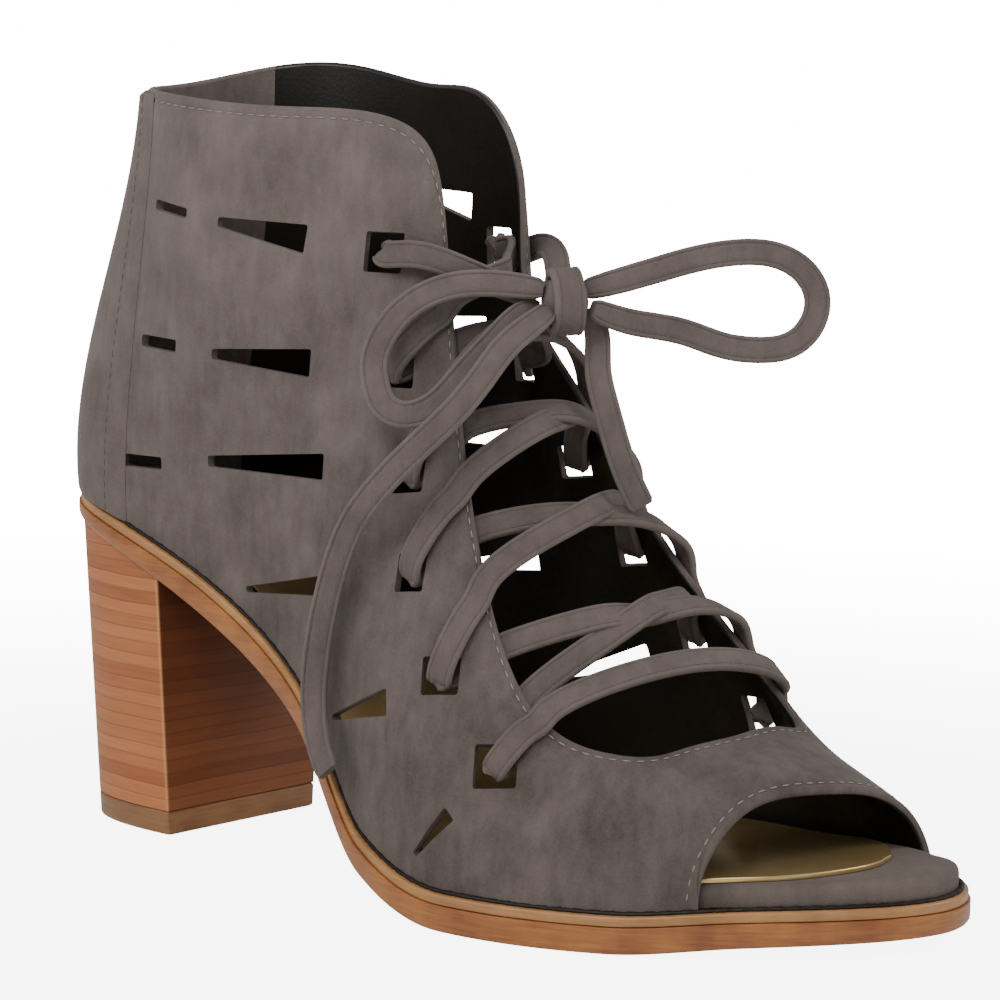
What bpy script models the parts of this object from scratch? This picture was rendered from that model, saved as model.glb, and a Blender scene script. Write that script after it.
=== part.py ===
"""Lace-up heel, one right shoe: rebuilt from a photograph.

Measured frame of the tables: along runs from the back of the heel to the toe, side is positive
toward the wearer's right (the outer side), up is the height over the floor, all in millimetres.
"""
import math

import bmesh
import bpy
import numpy as np
from mathutils import Vector

for old in list(bpy.data.objects):
    bpy.data.objects.remove(old, do_unlink=True)

# Sizes in millimetres
FEATHER_INSET = 2.0
WALL = 2.0
GAP = 0.35
SEAT = 0.6
WELT = 2.1
SEAT_WALL_GAP = 1.0
FOOTBED_HEEL = 3.0
FOOTBED_TOE = 4.8
SOCK = 0.8
HEEL_TIP = 5.7
HEEL_FRONT_TOP = 42.0
HEEL_BACK_FLOOR = 5.5
HEEL_FRONT_FLOOR = 43.0
HEEL_TAPER = 0.87
BACK_PANEL = 1.2
BACK_PANEL_SHARE = 0.088
PEEP_FROM = 0.411
PEEP_TO = 0.572
PEEP_HIGH = 0.60
LACE_WIDE = 6.4
LACE_THICK = 1.4
CORD = 4.0
MIDDLE_ALONG = 116.5
MIDDLE_SIDE = 2.5


def table(columns, rows):
    names = columns.split()
    return [dict(zip(names, row)) for row in rows]


OUTLINE = table("place along side", [
    ("heel back", 0.0, 0.5),
    ("heel quarter, outer", 6.5, 21.5),
    ("heel seat, outer", 33.0, 30.0),
    ("waist, outer", 86.0, 31.8),
    ("ball, outer", 134.0, 47.0),
    ("little toe, outer", 172.0, 43.8),
    ("toe corner, outer", 206.0, 22.5),
    ("toe tip", 233.3, -13.0),
    ("toe corner, inner", 222.0, -36.0),
    ("big toe, inner", 194.0, -42.5),
    ("ball, inner", 156.0, -41.5),
    ("waist, inner", 92.0, -25.0),
    ("heel seat, inner", 34.0, -29.3),
    ("heel quarter, inner", 8.0, -20.5),
])
PROFILE = table("along bottom thick", [
    (0.0, 76.4, 5.0),
    (30.0, 66.6, 6.9),
    (60.0, 53.4, 8.2),
    (90.0, 35.2, 8.4),
    (120.0, 6.6, 8.0),
    (148.0, 0.0, 8.0),
    (184.0, 0.0, 8.0),
    (206.0, 2.2, 7.6),
    (232.0, 3.8, 7.0),
])
RIBS = table("place side along top_along top_side top_up belly rise shoulder drop", [
    ("heel back", 1, 0.0, 22.0, 0.0, 178.5, 5, 30, 4, 32),
    ("heel side", 1, 20.0, 31.5, 23.0, 176.0, 3, 30, 2, 34),
    ("quarter", 1, 48.0, 52.0, 30.0, 173.5, 2, 32, 1, 36),
    ("ankle", 1, 74.0, 80.0, 25.5, 171.5, 1, 34, 4, 38),
    ("collar corner", 1, 95.0, 106.0, 16.0, 168.0, 1, 38, 8, 42),
    ("throat head", 1, 107.0, 115.5, 14.0, 155.0, 1, 38, 11, 42),
    ("throat high", 1, 118.0, 118.5, 13.5, 131.0, 2, 34, 14, 36),
    ("throat mid", 1, 131.0, 126.0, 19.0, 108.0, 2, 30, 14, 30),
    ("throat low", 1, 147.0, 138.5, 25.5, 77.0, 2, 24, 12, 24),
    ("throat foot", 1, 163.0, 154.0, 29.5, 50.0, 2, 16, 9, 12),
    ("vamp side", 1, 183.0, 174.5, 26.0, 39.0, 1, 12, 10, 3),
    ("vamp top", 1, 210.0, 183.5, 12.0, 39.3, 0, 12, 12, 3),
    ("toe tip", 1, 233.3, 186.0, -4.0, 40.6, 0, 12, 15, 4),
    ("vamp top, inner", -1, 222.0, 188.0, -16.0, 41.0, 0, 12, 10, 5),
    ("vamp side, inner", -1, 203.0, 187.5, -25.0, 40.5, 0, 12, 8, 5),
    ("throat foot, inner", -1, 182.0, 171.0, -29.5, 53.0, 1, 16, 8, 12),
    ("throat low, inner", -1, 162.0, 146.5, -24.7, 81.0, 2, 24, 12, 24),
    ("throat mid, inner", -1, 142.0, 129.5, -17.5, 111.0, 2, 30, 12, 30),
    ("throat high, inner", -1, 124.0, 119.0, -12.5, 133.0, 2, 34, 12, 36),
    ("throat head, inner", -1, 109.0, 115.5, -14.0, 158.0, 1, 38, 10, 42),
    ("collar corner, inner", -1, 95.0, 105.0, -16.0, 174.0, 1, 38, 8, 42),
    ("ankle, inner", -1, 74.0, 80.0, -25.5, 178.5, 1, 34, 4, 38),
    ("quarter, inner", -1, 48.0, 52.0, -30.0, 183.0, 2, 32, 1, 36),
    ("heel side, inner", -1, 20.0, 31.5, -23.0, 183.5, 3, 30, 2, 34),
])

class Closed:
    """smooth closed curve through rows of numbers at the given knots, 0 to 1"""
    def __init__(self, knots, rows):
        P = np.asarray(rows, float)
        if P.ndim == 1:
            P = P[:, None]
        t = np.asarray(knots, float)
        m = len(P)
        h = np.append(np.diff(t), 1.0 - t[-1] + t[0])
        A = np.zeros((m, m))
        R = np.zeros((m, P.shape[1]))
        for i in range(m):
            before = h[i - 1]
            after = h[i]
            A[i, i - 1] += before
            A[i, i] += 2.0 * (before + after)
            A[i, (i + 1) % m] += after
            R[i] = 6.0 * ((P[(i + 1) % m] - P[i]) / after - (P[i] - P[i - 1]) / before)
        self.t, self.h, self.P, self.M, self.m = t, h, P, np.linalg.solve(A, R), m
    def __call__(self, u):
        u = np.atleast_1d(np.asarray(u, float))
        w = (u - self.t[0]) % 1.0 + self.t[0]
        k = np.clip(np.searchsorted(self.t, w, side="right") - 1, 0, self.m - 1)
        n = (k + 1) % self.m
        h = self.h[k][:, None]
        a = (w - self.t[k])[:, None]
        b = h - a
        M, P = self.M, self.P
        return (M[k] * b ** 3 + M[n] * a ** 3) / (6 * h) + (P[k] / h - M[k] * h / 6) * b + (P[n] / h - M[n] * h / 6) * a

def outline_curve():
    rows = np.array([(r["along"], r["side"]) for r in OUTLINE])
    step = np.sqrt(np.linalg.norm(np.roll(rows, -1, 0) - rows, axis=1))
    knots = np.concatenate([[0], np.cumsum(step)[:-1]]) / step.sum()
    dense = Closed(knots, rows)(np.linspace(0, 1, 1200, endpoint=False))
    length = np.linalg.norm(np.roll(dense, -1, 0) - dense, axis=1)
    share = np.concatenate([[0], np.cumsum(length)[:-1]]) / length.sum()
    pick = np.arange(0, 1200, 10)
    return Closed(share[pick], dense[pick]), length.sum()

EDGE, GIRTH = outline_curve()

def outward(u):
    d = EDGE(np.asarray(u) + 1e-4) - EDGE(np.asarray(u) - 1e-4)
    n = np.stack([-d[:, 1], d[:, 0]], -1)
    n /= np.linalg.norm(n, axis=1)[:, None]
    return n

def smooth_steps(xs, ys, x):
    """monotone cubic through the rows"""
    xs, ys, x = (np.asarray(v, float) for v in (xs, ys, x))
    h = np.diff(xs)
    d = np.diff(ys) / h
    m = np.zeros(len(xs))
    for i in range(1, len(xs) - 1):
        if d[i - 1] * d[i] > 0:
            w1 = 2 * h[i] + h[i - 1]
            w2 = h[i] + 2 * h[i - 1]
            m[i] = (w1 + w2) / (w1 / d[i - 1] + w2 / d[i])
    m[0] = d[0]
    m[-1] = d[-1]
    x = np.clip(x, xs[0], xs[-1])
    k = np.clip(np.searchsorted(xs, x, side="right") - 1, 0, len(xs) - 2)
    t = (x - xs[k]) / h[k]
    return (ys[k] * (1 + 2 * t) * (1 - t) ** 2 + m[k] * h[k] * t * (1 - t) ** 2
            + ys[k + 1] * t * t * (3 - 2 * t) + m[k + 1] * h[k] * t * t * (t - 1))

def sole_bottom(along):
    return smooth_steps([r["along"] for r in PROFILE], [r["bottom"] for r in PROFILE], along)
def sole_thick(along):
    return smooth_steps([r["along"] for r in PROFILE], [r["thick"] for r in PROFILE], along)
def sole_top(along):
    return sole_bottom(along) + sole_thick(along)

def share_at(along, side):
    u = np.linspace(0, 1, 4001)[:-1]
    E = EDGE(u)
    tip = u[np.argmax(E[:, 0])]
    if along <= 0:
        return 0.0
    if along >= E[:, 0].max():
        return tip
    ok = (u <= tip) if side > 0 else (u >= tip)
    return u[ok][np.argmin(np.abs(E[ok, 0] - along))]

def feather(u):
    e = EDGE(u) - FEATHER_INSET * outward(u)
    return np.column_stack([e, sole_top(e[:, 0]) + 0.3])

_knots = [share_at(r["along"], r["side"]) for r in RIBS]
TOP = Closed(_knots, [(r["top_along"], r["top_side"], r["top_up"]) for r in RIBS])
LEAN = Closed(_knots, [(r["belly"], r["rise"], r["shoulder"], r["drop"]) for r in RIBS])

def skin(u, v):
    """outer face of the upper: u share round the feather edge, v 0 feather to 1 topline"""
    u = np.atleast_1d(np.asarray(u, float))
    v = np.atleast_1d(np.asarray(v, float))[:, None]
    B = feather(u)
    T = TOP(u)
    L = LEAN(u)
    o = np.column_stack([outward(u), np.zeros(len(u))])
    up = np.array([0, 0, 1.0])
    P1 = B + o * L[:, 0:1] + up * L[:, 1:2]
    P2 = T + o * L[:, 2:3] - up * L[:, 3:4]
    return B * (1 - v) ** 3 + 3 * P1 * v * (1 - v) ** 2 + 3 * P2 * v * v * (1 - v) + T * v ** 3

def skin_normal(u, v, e=2e-4):
    u = np.atleast_1d(np.asarray(u, float))
    v = np.atleast_1d(np.asarray(v, float))
    du = skin(u + e, v) - skin(u - e, v)
    dv = skin(u, v + e) - skin(u, v - e)
    n = np.cross(dv, du)
    n /= np.linalg.norm(n, axis=1)[:, None] + 1e-12
    return n


# Rows of openings in the quarters, each a slot from its back end to its front end
CUTS = table("place back_along back_up front_along front_up back_high front_high", [
    ("row 1 short", 41.0, 149.0, 52.6, 147.0, 2.4, 2.4),
    ("row 1 wedge", 62.6, 145.4, 86.0, 142.0, 2.2, 6.6),
    ("row 1 eyelet", 100.4, 139.8, 109.6, 139.6, 9.0, 9.0),
    ("row 2 short", 36.8, 117.4, 49.0, 116.5, 2.8, 3.0),
    ("row 2 wedge", 60.7, 115.4, 89.0, 114.6, 2.3, 6.4),
    ("row 2 eyelet", 106.5, 114.3, 115.0, 114.4, 8.2, 8.2),
    ("row 3 short", 29.5, 88.9, 43.6, 88.9, 3.0, 3.0),
    ("row 3 wedge", 59.0, 90.7, 94.9, 92.0, 2.5, 6.0),
    ("row 3 eyelet", 114.3, 91.6, 122.6, 92.4, 7.8, 7.8),
    ("row 4 wedge", 71.0, 62.2, 101.0, 66.5, 1.4, 5.0),
    ("row 4 eyelet", 121.8, 71.6, 129.4, 72.4, 8.6, 8.6),
    ("row 5 wedge", 105.0, 38.0, 126.0, 44.9, 1.2, 6.0),
    ("row 5 eyelet", 135.0, 51.5, 142.8, 52.1, 8.4, 8.4),
    ("row 6 wedge", 139.6, 14.8, 148.6, 24.9, 1.2, 3.6),
    ("row 6 eyelet", 151.7, 34.8, 160.2, 35.5, 9.6, 9.6),
])
# How far the same openings move on the inner side, whose throat edge lies further forward, and
# how much more the slots behind its eyelets move
INNER_SHIFT = table("up along raise slot_along slot_raise", [
    (10.0, 10.0, 0.0, 0.0, 0.0),
    (40.0, 14.0, 4.0, 0.0, 0.0),
    (70.0, 13.0, 2.0, 0.0, 0.0),
    (95.0, 7.0, 1.0, 8.0, 5.0),
    (120.0, 2.0, 0.0, 8.0, 7.0),
    (150.0, 0.0, 2.0, 9.0, 6.0),
])

# Lace strands over the throat: shares of the topline where they cross its two edges, whether
# they pass over or under the edge, the opening each end runs to, and the arch in the middle
STRANDS = table("node outer_share outer_way outer_row inner_share inner_way inner_row arch", [
    ("lace_bar_front", 0.3475, "over", 6, 0.6200, "over", 6, 9.0),
    ("lace_cross_fifth", 0.3370, "under", 6, 0.6500, "under", 5, 9.0),
    ("lace_cross_fifth", 0.3238, "under", 5, 0.6390, "over", 6, 9.0),
    ("lace_cross_fourth", 0.3120, "over", 5, 0.6738, "under", 4, 9.0),
    ("lace_cross_fourth", 0.3010, "under", 4, 0.6590, "over", 5, 9.0),
    ("lace_cross_third", 0.2930, "over", 4, 0.6965, "under", 3, 9.0),
    ("lace_cross_third", 0.2810, "under", 3, 0.6800, "over", 4, 9.0),
    ("lace_cross_second", 0.2730, "over", 3, 0.7190, "under", 2, 9.0),
    ("lace_cross_second", 0.2610, "under", 2, 0.7025, "over", 3, 9.0),
])

# Routes of the loose lace, read from the photo: along side up
KNOT_ROUTE = [(141.2, -3.9, 130.1), (139.5, 0.0, 129.9), (137.8, 3.9, 129.6)]
LOOP_OUTER_ROUTE = [(137.3, 5.0, 132.6), (131.3, 11.5, 133.6), (125.0, 17.5, 133.4), (120.3, 22.5, 131.4),
                    (116.4, 26.8, 127.6), (114.3, 30.5, 122.4), (113.4, 32.5, 116.8), (116.4, 35.0, 111.6),
                    (120.6, 36.5, 107.4), (125.6, 35.3, 105.9), (129.6, 31.6, 107.9), (131.3, 26.5, 112.3),
                    (131.8, 20.5, 117.2), (131.7, 14.3, 121.3), (134.2, 8.2, 127.2), (135.1, 3.8, 128.1)]
TAIL_OUTER_ROUTE = [(139.9, 6.2, 127.9), (140.0, 10.2, 126.0), (139.3, 18.0, 121.6), (140.0, 26.5, 115.5),
                    (139.2, 34.0, 108.6), (135.6, 39.0, 102.5), (129.3, 40.6, 96.5), (121.8, 41.0, 89.5),
                    (115.1, 40.8, 81.8), (109.9, 40.4, 71.6), (106.6, 40.2, 61.4), (104.7, 40.2, 51.3),
                    (105.0, 41.0, 41.5), (108.6, 43.0, 33.4), (113.3, 45.0, 28.4)]
LOOP_INNER_ROUTE = [(139.8, -6.3, 132.4), (145.5, -11.0, 134.5), (151.6, -18.0, 137.3),
                    (156.5, -26.0, 139.8), (161.6, -34.0, 141.2), (166.1, -41.0, 140.7),
                    (170.3, -46.0, 137.4), (172.6, -48.5, 131.5), (172.2, -47.0, 125.1),
                    (169.5, -43.0, 120.8), (164.9, -38.0, 119.6), (159.5, -31.0, 120.6),
                    (154.2, -22.5, 123.7), (147.8, -13.0, 125.6), (144.1, -3.9, 128.6)]
TAIL_INNER_ROUTE = [(139.9, -7.2, 127.8), (141.5, -8.9, 123.4), (143.3, -7.4, 115.4), (146.5, -6.2, 107.8),
                    (149.5, -6.2, 100.1), (152.1, -7.4, 92.5), (154.9, -9.4, 85.6)]
LEAD_OUTER_ROUTE = [(107.4, 22.7, 139.3), (113.5, 21.9, 139.6), (119.5, 18.0, 138.2), (125.0, 10.5, 134.6),
                    (129.0, 4.4, 132.0), (132.2, 1.2, 130.3)]
LEAD_INNER_ROUTE = [(107.4, -21.8, 139.8), (113.5, -21.2, 141.0), (119.5, -18.2, 141.2),
                    (126.5, -12.5, 139.2), (131.0, -8.0, 135.2), (134.1, -4.5, 131.3)]

PAINT = {
    "suede": (0.205, 0.165, 0.150, 0.0, 0.9),
    "lining": (0.012, 0.010, 0.009, 0.0, 0.5),
    "stacked": (0.430, 0.205, 0.110, 0.0, 0.5),
    "edge": (0.515, 0.225, 0.085, 0.0, 0.5),
    "rand": (0.580, 0.360, 0.190, 0.0, 0.5),
    "gold": (0.480, 0.330, 0.120, 0.9, 0.3),
    "rubber": (0.300, 0.130, 0.055, 0.0, 0.6),
}


def paint(node, kind):
    red, green, blue, metal, rough = PAINT[kind]
    made = bpy.data.materials.new(node + "_" + kind)
    made.use_nodes = True
    shader = made.node_tree.nodes["Principled BSDF"]
    shader.inputs["Base Color"].default_value = (red, green, blue, 1.0)
    shader.inputs["Metallic"].default_value = metal
    shader.inputs["Roughness"].default_value = rough
    made.diffuse_color = (red, green, blue, 1.0)
    return made


def place(points):
    """millimetres of the tables to metres of the frame: toe toward -Y, wearer's right is -X"""
    p = np.atleast_2d(np.asarray(points, float))
    return np.column_stack([MIDDLE_SIDE - p[:, 1], MIDDLE_ALONG - p[:, 0], p[:, 2]]) * 0.001


def add_mesh(name, points, faces, kind=None, smooth=True, angle=40.0):
    mesh = bpy.data.meshes.new(name)
    mesh.from_pydata([tuple(p) for p in place(points)], [], faces)
    work = bmesh.new()
    work.from_mesh(mesh)
    bmesh.ops.recalc_face_normals(work, faces=work.faces)
    if work.calc_volume(signed=True) < 0:
        bmesh.ops.reverse_faces(work, faces=work.faces)
    work.to_mesh(mesh)
    work.free()
    for face in mesh.polygons:
        face.use_smooth = smooth
    if smooth:
        mesh.set_sharp_from_angle(angle=math.radians(angle))
    node = bpy.data.objects.new(name, mesh)
    bpy.context.scene.collection.objects.link(node)
    if kind:
        mesh.materials.append(paint(name, kind))
    return node


def hide_cutter(node):
    node.hide_render = True
    node.display_type = "WIRE"


def boolean(node, other, operation):
    step = node.modifiers.new(operation.lower(), "BOOLEAN")
    step.operation = operation
    step.solver = "EXACT"
    step.object = other
    hide_cutter(other)


# Sole pieces: stacks of outlines, closed across by rungs at matching stations
def inset_loop(inset, count=720):
    u = np.arange(count) / count
    amount = inset(u) if callable(inset) else np.full(count, float(inset))
    return EDGE(u) - outward(u) * amount[:, None]


def halves(loop, stations, first=None, last=None):
    """outer and inner side of a loop at stations 0 to 1 between its ends"""
    start, end = np.argmin(loop[:, 0]), np.argmax(loop[:, 0])
    ring = np.roll(loop, -start, 0)
    end = (end - start) % len(loop)
    outer = ring[:end + 1]
    inner = np.vstack([ring[end:], ring[:1]])[::-1]
    low = ring[0, 0] if first is None else first
    high = ring[end, 0] if last is None else last
    along = low + (high - low) * stations
    a = np.interp(along, outer[:, 0], outer[:, 1])
    b = np.interp(along, inner[:, 0], inner[:, 1])
    return along, a, b


def stack(name, levels, kind, angle=40.0):
    """levels from the bottom up: rows of (along, outer side, inner side, height at a side)"""
    points = []
    for along, outer, inner, height in levels:
        points += [(x, y, z) for x, y, z in zip(along, outer, height)]
        points += [(x, y, z) for x, y, z in zip(along, inner, height)]
    n = len(levels[0][0])
    faces = []
    for level in range(len(levels) - 1):
        a, b = 2 * n * level, 2 * n * (level + 1)
        for k in range(n - 1):
            faces.append((a + k, a + k + 1, b + k + 1, b + k))
            faces.append((a + n + k + 1, a + n + k, b + n + k, b + n + k + 1))
        faces.append((a, b, b + n, a + n))
        faces.append((a + n - 1, a + 2 * n - 1, b + 2 * n - 1, b + n - 1))
    top = 2 * n * (len(levels) - 1)
    for k in range(n - 1):
        faces.append((k, k + n, k + n + 1, k + 1))
        faces.append((top + k, top + k + 1, top + k + n + 1, top + k + n))
    return add_mesh(name, points, faces, kind, angle=angle)


def shared_stations(start, end, count):
    """the same stations for every layer of the sole, drawn in to this layer's own two ends"""
    whole = EDGE(np.linspace(0, 1, 720))[:, 0]
    low, high = whole.min(), whole.max()
    fine = np.linspace(low, high, 3000)
    crowd = 1.0 + 1.6 * np.exp(-((fine - 130.0) / 24.0) ** 2)
    crowd += 30.0 * (np.exp((low - fine) / 1.2) + np.exp((fine - high) / 1.2))
    total = np.cumsum(crowd)
    grid = np.interp((np.arange(count) + 0.5) / count, total / total[-1], fine)
    own = np.interp(grid, [low, 14.0, 196.0, high], [start, 14.0, 196.0, end])
    return (own - start) / (end - start)


def one_end(count):
    return 1.0 - np.cos(np.pi / 2.0 * (np.arange(count) + 0.35) / (count - 0.65))


def level(inset, height, count=46):
    loop = inset_loop(inset)
    stations = shared_stations(loop[:, 0].min(), loop[:, 0].max(), count)
    along, outer, inner = halves(loop, stations)
    return along, outer, inner, height(along)


def peep_window(u):
    """0 under the closed upper, 1 in the open toe"""
    rise = np.clip((u - PEEP_FROM - 0.006) / 0.016, 0, 1)
    fall = np.clip((PEEP_TO - 0.013 - u) / 0.018, 0, 1)
    w = rise * fall
    return w * w * (3 - 2 * w)


def footbed_inset(u):
    closed = FEATHER_INSET + WALL + SEAT_WALL_GAP
    return closed + (2.6 - closed) * peep_window(u)


def sock_inset(u):
    centre = (PEEP_FROM + PEEP_TO) / 2 + 0.03
    w = np.clip(1.0 - np.abs(u - centre) / 0.095, 0, 1)
    w = w * w * (3 - 2 * w)
    return footbed_inset(u) + 2.2 + 13.0 * w


def footbed_low(along):
    return sole_top(along) + GAP


def footbed_top(along):
    thick = smooth_steps([0, 110, 165, 240], [FOOTBED_HEEL, FOOTBED_HEEL, FOOTBED_TOE, FOOTBED_TOE], along)
    return footbed_low(along) + thick


def build_sole():
    stack("outsole", [
        level(1.3, sole_bottom),
        level(0.0, lambda s: sole_bottom(s) + 1.3),
        level(0.0, lambda s: sole_top(s) - WELT - GAP),
    ], "edge")
    stack("welt", [
        level(0.5, lambda s: sole_top(s) - WELT),
        level(0.5, lambda s: sole_top(s) - 0.6),
        level(1.0, sole_top),
    ], "rand")
    stack("footbed", [
        level(footbed_inset, footbed_low),
        level(footbed_inset, lambda s: footbed_top(s) - 1.5),
        level(lambda u: footbed_inset(u) + 1.5, footbed_top),
    ], "suede")
    stack("sock", [
        level(sock_inset, lambda s: footbed_top(s) + GAP),
        level(sock_inset, lambda s: footbed_top(s) + GAP + SOCK),
    ], "gold")


def build_heel():
    loop = inset_loop(1.2)
    stations = one_end(18)
    along, outer, inner = halves(loop, stations, None, HEEL_FRONT_TOP)
    back = loop[:, 0].min()
    share = (along - back) / (HEEL_FRONT_TOP - back)
    floor_along = HEEL_BACK_FLOOR + share * (HEEL_FRONT_FLOOR - HEEL_BACK_FLOOR)
    top = sole_bottom(along) - GAP

    def at(height):
        t = (height - 0.0) / top
        x = floor_along + (along - floor_along) * t
        grow = HEEL_TAPER + (1.0 - HEEL_TAPER) * t
        return x, outer * grow, inner * grow, np.full(len(x), 1.0) * height
    stack("heel", [at(HEEL_TIP), (along, outer, inner, top)], "stacked")
    stack("heel_tip", [at(0.0), at(HEEL_TIP - GAP)], "rubber")


# Upper: one hollow wall between the skin and the same skin moved inward
def columns():
    """shares round the feather edge with the lower end of each rib, closer in the open toe"""
    count = 18
    turn = np.pi * np.arange(count + 1) / count
    centre, half = (PEEP_FROM + PEEP_TO) / 2, (PEEP_TO - PEEP_FROM) / 2
    window = centre - half * np.cos(turn)
    low = PEEP_HIGH * np.sin(turn) ** 0.9
    low[0] = low[-1] = 0.0
    rest = np.linspace(PEEP_TO, PEEP_FROM + 1.0, 51)[1:-1]
    return np.append(window, rest), np.append(low, np.zeros(len(rest)))


def wall_grid(u, low, rows, outside, inside, high=None):
    """outer and inner points, one column a share, one row a step from the edge to the topline"""
    high = np.ones(len(u)) if high is None else high
    out, inn = [], []
    for step in np.linspace(0, 1, rows + 1):
        v = low + (high - low) * step
        p = skin(u, v)
        n = skin_normal(u, v)
        q = p - n * inside
        p = p + n * outside
        if step == 0:
            seat = low < 1e-6
            for edge in (p, q):
                edge[seat, 2] = sole_top(edge[seat, 0]) + SEAT
        out.append(p)
        inn.append(q)
    return np.array(out), np.array(inn)


def wall_mesh(name, out, inn, kind, ring):
    rows, count = out.shape[0], out.shape[1]
    points = np.vstack([out.reshape(-1, 3), inn.reshape(-1, 3)])
    far = rows * count
    faces = []
    for r in range(rows - 1):
        for k in range(count if ring else count - 1):
            n = (k + 1) % count
            a, b, c, d = r * count + k, r * count + n, (r + 1) * count + n, (r + 1) * count + k
            faces.append((a, b, c, d))
            faces.append((far + b, far + a, far + d, far + c))
    last = (rows - 1) * count
    for k in range(count if ring else count - 1):
        n = (k + 1) % count
        faces.append((k, far + k, far + n, n))
        faces.append((last + n, far + last + n, far + last + k, last + k))
    if not ring:
        for r in range(rows - 1):
            a, b = r * count, (r + 1) * count
            faces.append((a, b, far + b, far + a))
            a, b = a + count - 1, b + count - 1
            faces.append((b, a, far + a, far + b))
    return add_mesh(name, points, faces, kind, angle=50.0)


TIP_SHARE = share_at(999.0, 1)


def find_share(side, along, up):
    """share and height of the skin at a place seen from the side"""
    span = (0.02, TIP_SHARE) if side > 0 else (TIP_SHARE, 0.98)
    u, v = np.meshgrid(np.linspace(span[0], span[1], 160), np.linspace(0, 1, 80), indexing="ij")
    u, v = u.ravel(), v.ravel()
    p = skin(u, v)
    k = np.argmin((p[:, 0] - along) ** 2 + (p[:, 2] - up) ** 2)
    here = np.array([u[k], v[k]])
    for turn in range(4):
        at = skin(here[:1], here[1:])[0]
        e = 1e-4
        du = (skin(here[:1] + e, here[1:])[0] - at) / e
        dv = (skin(here[:1], here[1:] + e)[0] - at) / e
        grid = np.array([[du[0], dv[0]], [du[2], dv[2]]])
        here = here + np.linalg.solve(grid, np.array([along - at[0], up - at[2]]))
    return here


def cut_places(row, side):
    back = np.array([row["back_along"], row["back_up"]])
    front = np.array([row["front_along"], row["front_up"]])
    if side < 0:
        more = 0.0 if "eyelet" in row["place"] else 1.0
        ups = [r["up"] for r in INNER_SHIFT]
        for end in (back, front):
            end += [np.interp(end[1], ups, [r["along"] + more * r["slot_along"] for r in INNER_SHIFT]),
                    np.interp(end[1], ups, [r["raise"] + more * r["slot_raise"] for r in INNER_SHIFT])]
    return back, front


def cutter_points(row, side):
    back, front = cut_places(row, side)
    shares = [find_share(side, *back), find_share(side, *front)]
    spots = [skin(s[:1], s[1:])[0] for s in shares]
    normals = [skin_normal(s[:1], s[1:])[0] for s in shares]
    normal = (normals[0] + normals[1]) / np.linalg.norm(normals[0] + normals[1])
    run = spots[1] - spots[0]
    across = np.cross(normal, run)
    across /= np.linalg.norm(across)
    if across[2] < 0:
        across = -across
    points = []
    for depth in (-6.0, 5.0):
        for spot, high in zip(spots, (row["back_high"], row["front_high"])):
            points.append(spot + normal * depth - across * high / 2)
            points.append(spot + normal * depth + across * high / 2)
    return points


def build_cutter():
    points, faces = [], []
    for row in CUTS:
        for side in (1, -1):
            base = len(points)
            points += cutter_points(row, side)
            for face in ((0, 1, 3, 2), (4, 6, 7, 5), (0, 4, 5, 1), (2, 3, 7, 6), (0, 2, 6, 4), (1, 5, 7, 3)):
                faces.append(tuple(base + k for k in face))
    return add_mesh("cut_openings", points, faces, smooth=False)


def build_upper():
    u, low = columns()
    out, inn = wall_grid(u, low, 13, 0.0, WALL)
    upper = wall_mesh("upper", out, inn, "suede", True)
    boolean(upper, build_cutter(), "DIFFERENCE")
    u = np.linspace(-BACK_PANEL_SHARE, BACK_PANEL_SHARE, 17)
    under = GAP + 0.2
    out, inn = wall_grid(u, np.full(17, 0.0), 9, under + BACK_PANEL, -under, np.full(17, 0.985))
    wall_mesh("back_panel", out, inn, "suede", False)


# Lace: flat strands over the throat, round solids for its loose part
def through(route, count):
    """smooth curve through the points of a route"""
    p = np.asarray(route, float)
    t = np.concatenate([[0], np.cumsum(np.sqrt(np.linalg.norm(np.diff(p, axis=0), axis=1)))])
    n = len(p)
    h = np.diff(t)
    a = np.zeros((n, n))
    r = np.zeros((n, p.shape[1]))
    a[0, 0] = a[-1, -1] = 1.0
    for i in range(1, n - 1):
        a[i, i - 1:i + 2] = (h[i - 1], 2 * (h[i - 1] + h[i]), h[i])
        r[i] = 6 * ((p[i + 1] - p[i]) / h[i] - (p[i] - p[i - 1]) / h[i - 1])
    m = np.linalg.solve(a, r)

    def at(x):
        k = np.clip(np.searchsorted(t, x, side="right") - 1, 0, n - 2)
        g = h[k][:, None]
        b = (x - t[k])[:, None]
        c = g - b
        return (m[k] * c ** 3 + m[k + 1] * b ** 3) / (6 * g) + (p[k] / g - m[k] * g / 6) * c + (
            p[k + 1] / g - m[k + 1] * g / 6) * b
    fine = at(np.linspace(0, t[-1], 800))
    run = np.concatenate([[0], np.cumsum(np.linalg.norm(np.diff(fine, axis=0), axis=1))])
    want = np.linspace(0, run[-1], count)
    return np.column_stack([np.interp(want, run, fine[:, k]) for k in range(p.shape[1])])


def eyelet_share(number, side):
    row = [r for r in CUTS if r["place"] == "row %d eyelet" % number][0]
    back, front = cut_places(row, side)
    return find_share(side, *((back + front) / 2))


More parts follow.
